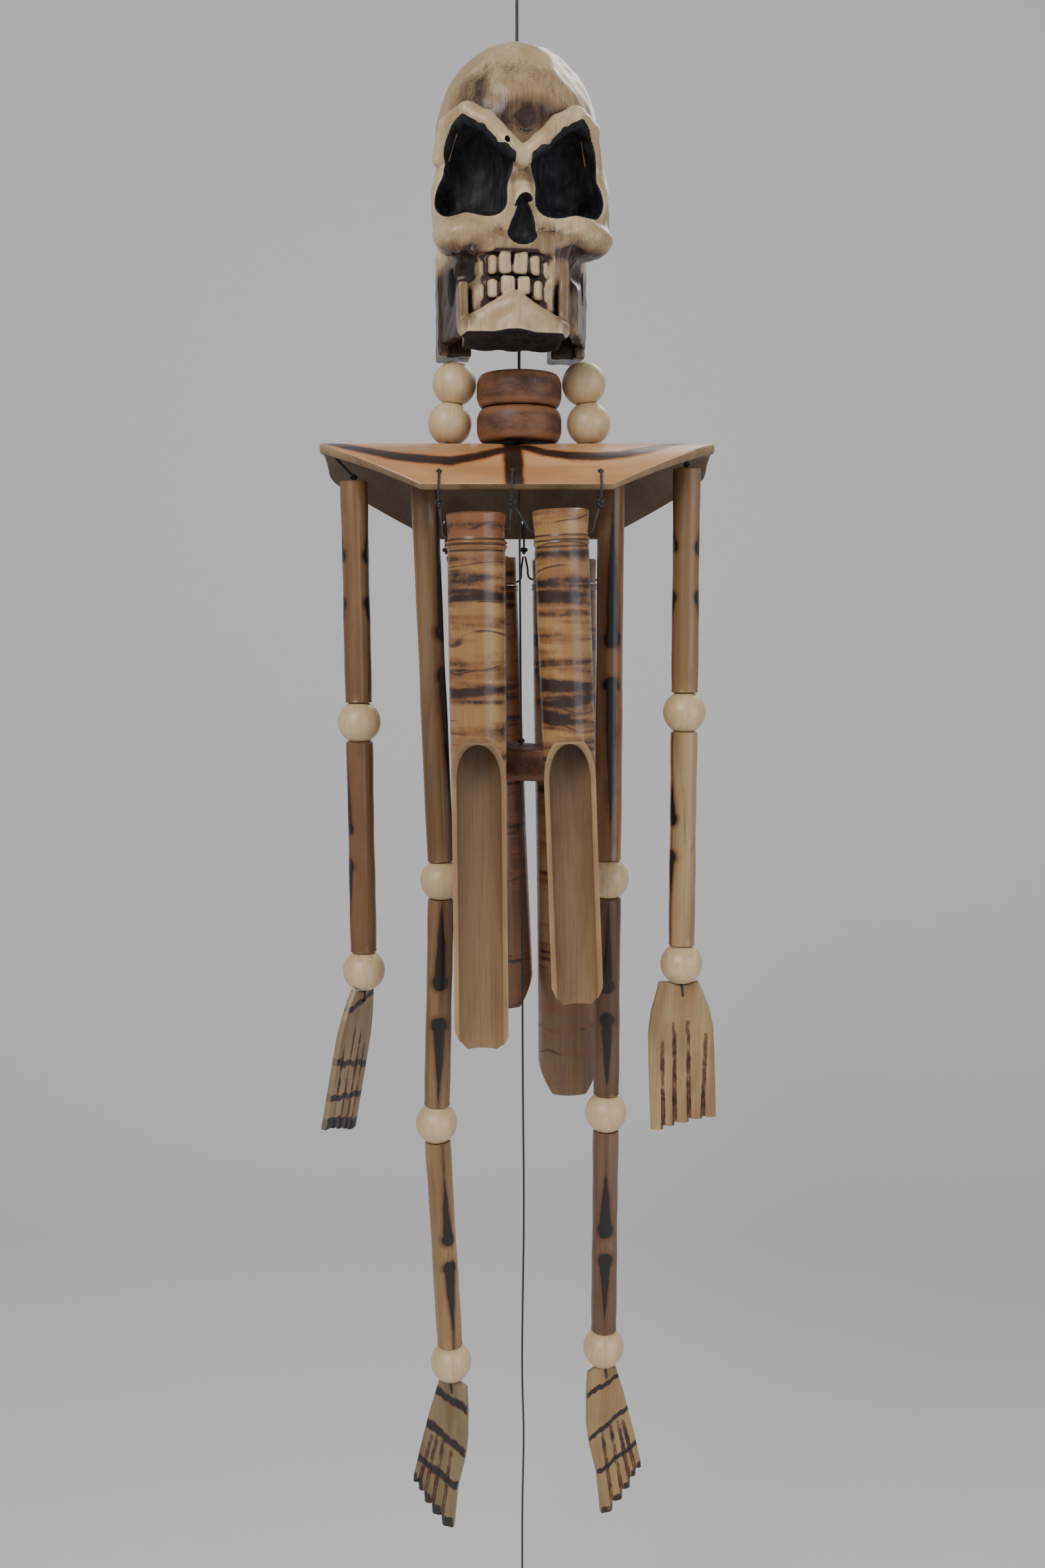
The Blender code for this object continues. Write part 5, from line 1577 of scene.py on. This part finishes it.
def closed_ends(mesh):
    """Close the tiny holes that a turned profile leaves on its axis."""
    bm = bmesh.new()
    bm.from_mesh(mesh)
    bmesh.ops.holes_fill(bm, edges=[e for e in bm.edges if e.is_boundary])
    bm.to_mesh(mesh)
    bm.free()
    return mesh


# ---------------------------------------------------------------- all the cords

def plate_point(x, angle, depth=0.0):
    """A point on the plate's skin, or `depth` below it, at an angle from the top."""
    radius = PLATE_R - depth
    return Vector((x, radius * math.sin(angle), PLATE_AXIS_Z + radius * math.cos(angle)))


def hanging_cords():
    """The eye above, its knot, the cord to the skull, and the long cord with the sail."""
    knot_z = PIVOT["whole_swing"].z
    side = [(0.00432, 0, -0.0035), (0.0060, 0, -0.0101), (0.00372, 0, -0.0210), (0.0009, 0, knot_z)]
    top = (0, 0, MAIN_CORD_D / 2)
    route = [top, *side, *[(-x, y, z) for x, y, z in side[::-1]], top]
    add_cord("loop_twine", smooth_route(route, 0.0008)[:-1], MAIN_CORD_D, "loop", "hanging_loop",
             cyclic=True)
    overhand_knot("loop_knot", (0, 0, knot_z), LOOP_KNOT_R, MAIN_CORD_D, "loop")
    start = knot_z - LOOP_KNOT_R - GAP
    end = SKULL_TOP.z + 0.0007
    add_cord("crown_twine", smooth_route([(0, 0, start), (0, 0, (start + end) / 2), (0, 0, end)],
                                         0.002), MAIN_CORD_D, "top_cord", "hanging_cord")
    low = STRIKER_LOW_Z - GAP
    run = SAIL_TOP_Z - low
    route = [(x, 0, low + run * share) for x, share in (
        (STRIKER_X, 0), (0.0025, 0.16), (0.0029, 0.36), (0.0034, 0.52), (0.0025, 0.70),
        (0.0033, 0.80), (SAIL_X, 0.90))] + [(SAIL_X, 0, SAIL_TOP_Z + GAP)]
    line = smooth_route(route, 0.0030)
    sail_line = add_cord("sail_twine", line, THIN_CORD_D, "sail_cord", "sail_cord")
    wind_sail()


def wind_sail():
    """The small bamboo sail, with softened edges and one scorched band."""
    outline = [(-3.5, 0), (3.5, 0), (15, -12), (15, -33.1), (0, -46), (-15, -33.1), (-15, -12)]
    cell = 0.45
    lowest = np.array([-16.0, -3.0, -47.0])
    axes = [np.arange(a, b, cell) for a, b in zip(lowest, (16.0, 3.0, 1.0))]
    gx, gy, gz = np.meshgrid(*axes, indexing="ij", sparse=True)
    field = carve(outline_distance(gx, gz, outline), 1.95 - np.abs(gy), 1.2)
    verts, quads = surface_of(field, lowest, cell)
    mesh = mesh_from_arrays("wind_sail_bamboo", verts, quads)
    mesh.transform(Matrix.Translation((SAIL_X, 0, SAIL_TOP_Z)) @ Matrix.Scale(MM, 4))
    height = verts[:, 2]
    paint(mesh, "scorch_and_groove_shade", 0.62 * ease(np.abs(height + 22 + 0.25 * verts[:, 0]), 4.0, 1.0))
    paint(mesh, "edge", 0.5 * ease(np.abs(verts[:, 1]), 1.7, 1.2))
    return add_piece("wind_sail_bamboo", mesh, "wind_sail", "sail", "wind_sail",
                     materials=[slat_bamboo("sail_skin", (0.44, 0.30, 0.14), 41)], sharp=180)


def neck_cords():
    """The centre cord and the two side cords, which show only between the pieces they string."""
    for node, ends in (("neck_cord_centre", None), ("neck_cord_left", -1), ("neck_cord_right", 1)):
        low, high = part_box(node)
        if ends is None:
            top = Vector((CENTRE_X, 0, high[2]))
            end = Vector((CENTRE_X, 0, low[2] + KNOT_R))
        else:
            inner = high[0] if ends < 0 else low[0]
            outer = low[0] if ends < 0 else high[0]
            top = Vector((inner + ends * TIE_CORD_D / 2, 0.0050, high[2]))
            end = Vector((outer - ends * KNOT_R, 0.0050, low[2] + KNOT_R))
        add_cord(f"{node}_twine", smooth_route([top, (top + end) / 2, end], 0.002), TIE_CORD_D,
                 "shoulders", node)
        overhand_knot(f"{node}_knot", end, KNOT_R, THIN_CORD_D, "shoulders", turn=0.7)


def ties():
    """The cords that hold the limbs: a stopper sunk in the plate, a knot at the limb's pivot."""
    for name, hole_x in TIE_HOLE_X.items():
        pivot = PIVOT[name]
        top = Vector((hole_x, 0, PLATE_TOP_Z - TIE_STOP_DEPTH))
        route = [top, (hole_x, 0, PLATE_TOP_Z - TIE_SINK_DEPTH),
                 (hole_x, 0, PLATE_TOP_Z - PLATE_WALL - 0.0012), pivot]
        add_cord(f"{name}_twine", smooth_route(route, 0.0012), TIE_CORD_D, "shoulders",
                 f"{name}_tie")
        overhand_knot(f"{name}_top_knot", top, TIE_STOP_R, THIN_CORD_D, "shoulders", turn=0.4)
        overhand_knot(f"{name}_low_knot", pivot, KNOT_R, THIN_CORD_D, "shoulders", turn=1.1)


def edge_loops():
    """The six loops round the plate's long edges, each with its knot below."""
    clear = THIN_CORD_D / 2 + GAP
    for row, knots, yz, hole in (("front", FRONT_KNOT_X, FRONT_KNOT_YZ, FRONT_HOLE_ANGLE),
                                 ("back", BACK_KNOT_X, BACK_KNOT_YZ, BACK_HOLE_ANGLE)):
        edge = math.copysign(PLATE_HALF_ARC, hole) + PLATE_PITCH
        step = math.copysign(math.radians(4), hole)
        for place, x in knots.items():
            knot = Vector((x, *yz))
            outside = plate_point(x, hole, -clear)
            inside = plate_point(x, hole, PLATE_WALL + clear)
            route = [knot, plate_point(x, edge + step * 0.6, -clear * 1.2),
                     plate_point(x, edge - step, -clear * 1.1),
                     outside + (outside - inside) * 0.05, (outside + inside) / 2,
                     inside + (inside - outside) * 0.05,
                     plate_point(x, edge - step, PLATE_WALL + clear * 1.1),
                     plate_point(x, edge + step * 0.6, PLATE_WALL + clear * 1.2), knot]
            add_cord(f"{row}_{place}_loop_twine", smooth_route(route, 0.0010)[:-1], THIN_CORD_D,
                     "shoulders", f"{row}_loop_{place}", cyclic=True)
            overhand_knot(f"{row}_{place}_loop_knot", knot, KNOT_R, THIN_CORD_D, "shoulders",
                          turn=x * 60)


def chime_cords():
    """One cord for each tube: from a knot, in at a side hole, across, and up to the next knot."""
    rows = {"front": (FRONT_KNOT_X, FRONT_KNOT_YZ), "back": (BACK_KNOT_X, BACK_KNOT_YZ)}
    for name, spec in CHIMES.items():
        row, side = name.split("_")
        knots, yz = rows[row]
        order = ("left", "middle") if side == "left" else ("middle", "right")
        top, _, lean = chime_line(spec)
        turn = Matrix.Rotation(lean, 3, "Y")
        holes = [top + turn @ Vector((out * spec["radius"], 0, -depth))
                 for out, depth in zip((-1, 1), spec["holes"])]
        ends = []
        for place, hole, out in zip(order, holes, (-1, 1)):
            knot = Vector((knots[place], *yz))
            outside = hole + turn @ Vector((out * 0.0014, 0, 0.0010))
            ends.append((knot + (outside - knot).normalized() * (KNOT_R + THIN_CORD_D), outside))
        (knot_a, out_a), (knot_b, out_b) = ends
        inward = (holes[1] - holes[0]) * 0.16
        route = [knot_a, knot_a.lerp(out_a, 0.5), out_a, holes[0] + inward,
                 (holes[0] + holes[1]) / 2, holes[1] - inward, out_b, knot_b.lerp(out_b, 0.5),
                 knot_b]
        add_cord(f"chime_{name}_twine", smooth_route(route, 0.0012), THIN_CORD_D, f"chime_{name}",
                 f"chime_cord_{name}")


def striker_twine():
    """The striker's cord and the stopper knot on top of the disc."""
    start = CENTRE_KNOT_Z - KNOT_R - GAP
    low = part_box("striker")[1][2]
    route = [(CENTRE_X, 0, start), ((CENTRE_X + STRIKER_X) / 2, 0, (start + low) / 2),
             (STRIKER_X, 0, low + GAP)]
    add_cord("striker_twine", smooth_route(route, 0.003), THIN_CORD_D, "striker_cord",
             "striker_cord")
    overhand_knot("striker_knot", (STRIKER_X, 0, low + 0.0024), 0.0021, THIN_CORD_D,
                  "striker_cord", turn=0.9)


TWINE = twine()
BEAD_WOOD = bead_wood()
add_camera()
hanging_cords()
add_stage()
neck_cords()
ties()
edge_loops()
chime_cords()
striker_twine()
neck_pieces()
limbs()
shoulder_plate()
for number, (tube_name, tube_spec) in enumerate(CHIMES.items()):
    chime_tube(tube_name, tube_spec, 60 + 7 * number)
carved_skull()
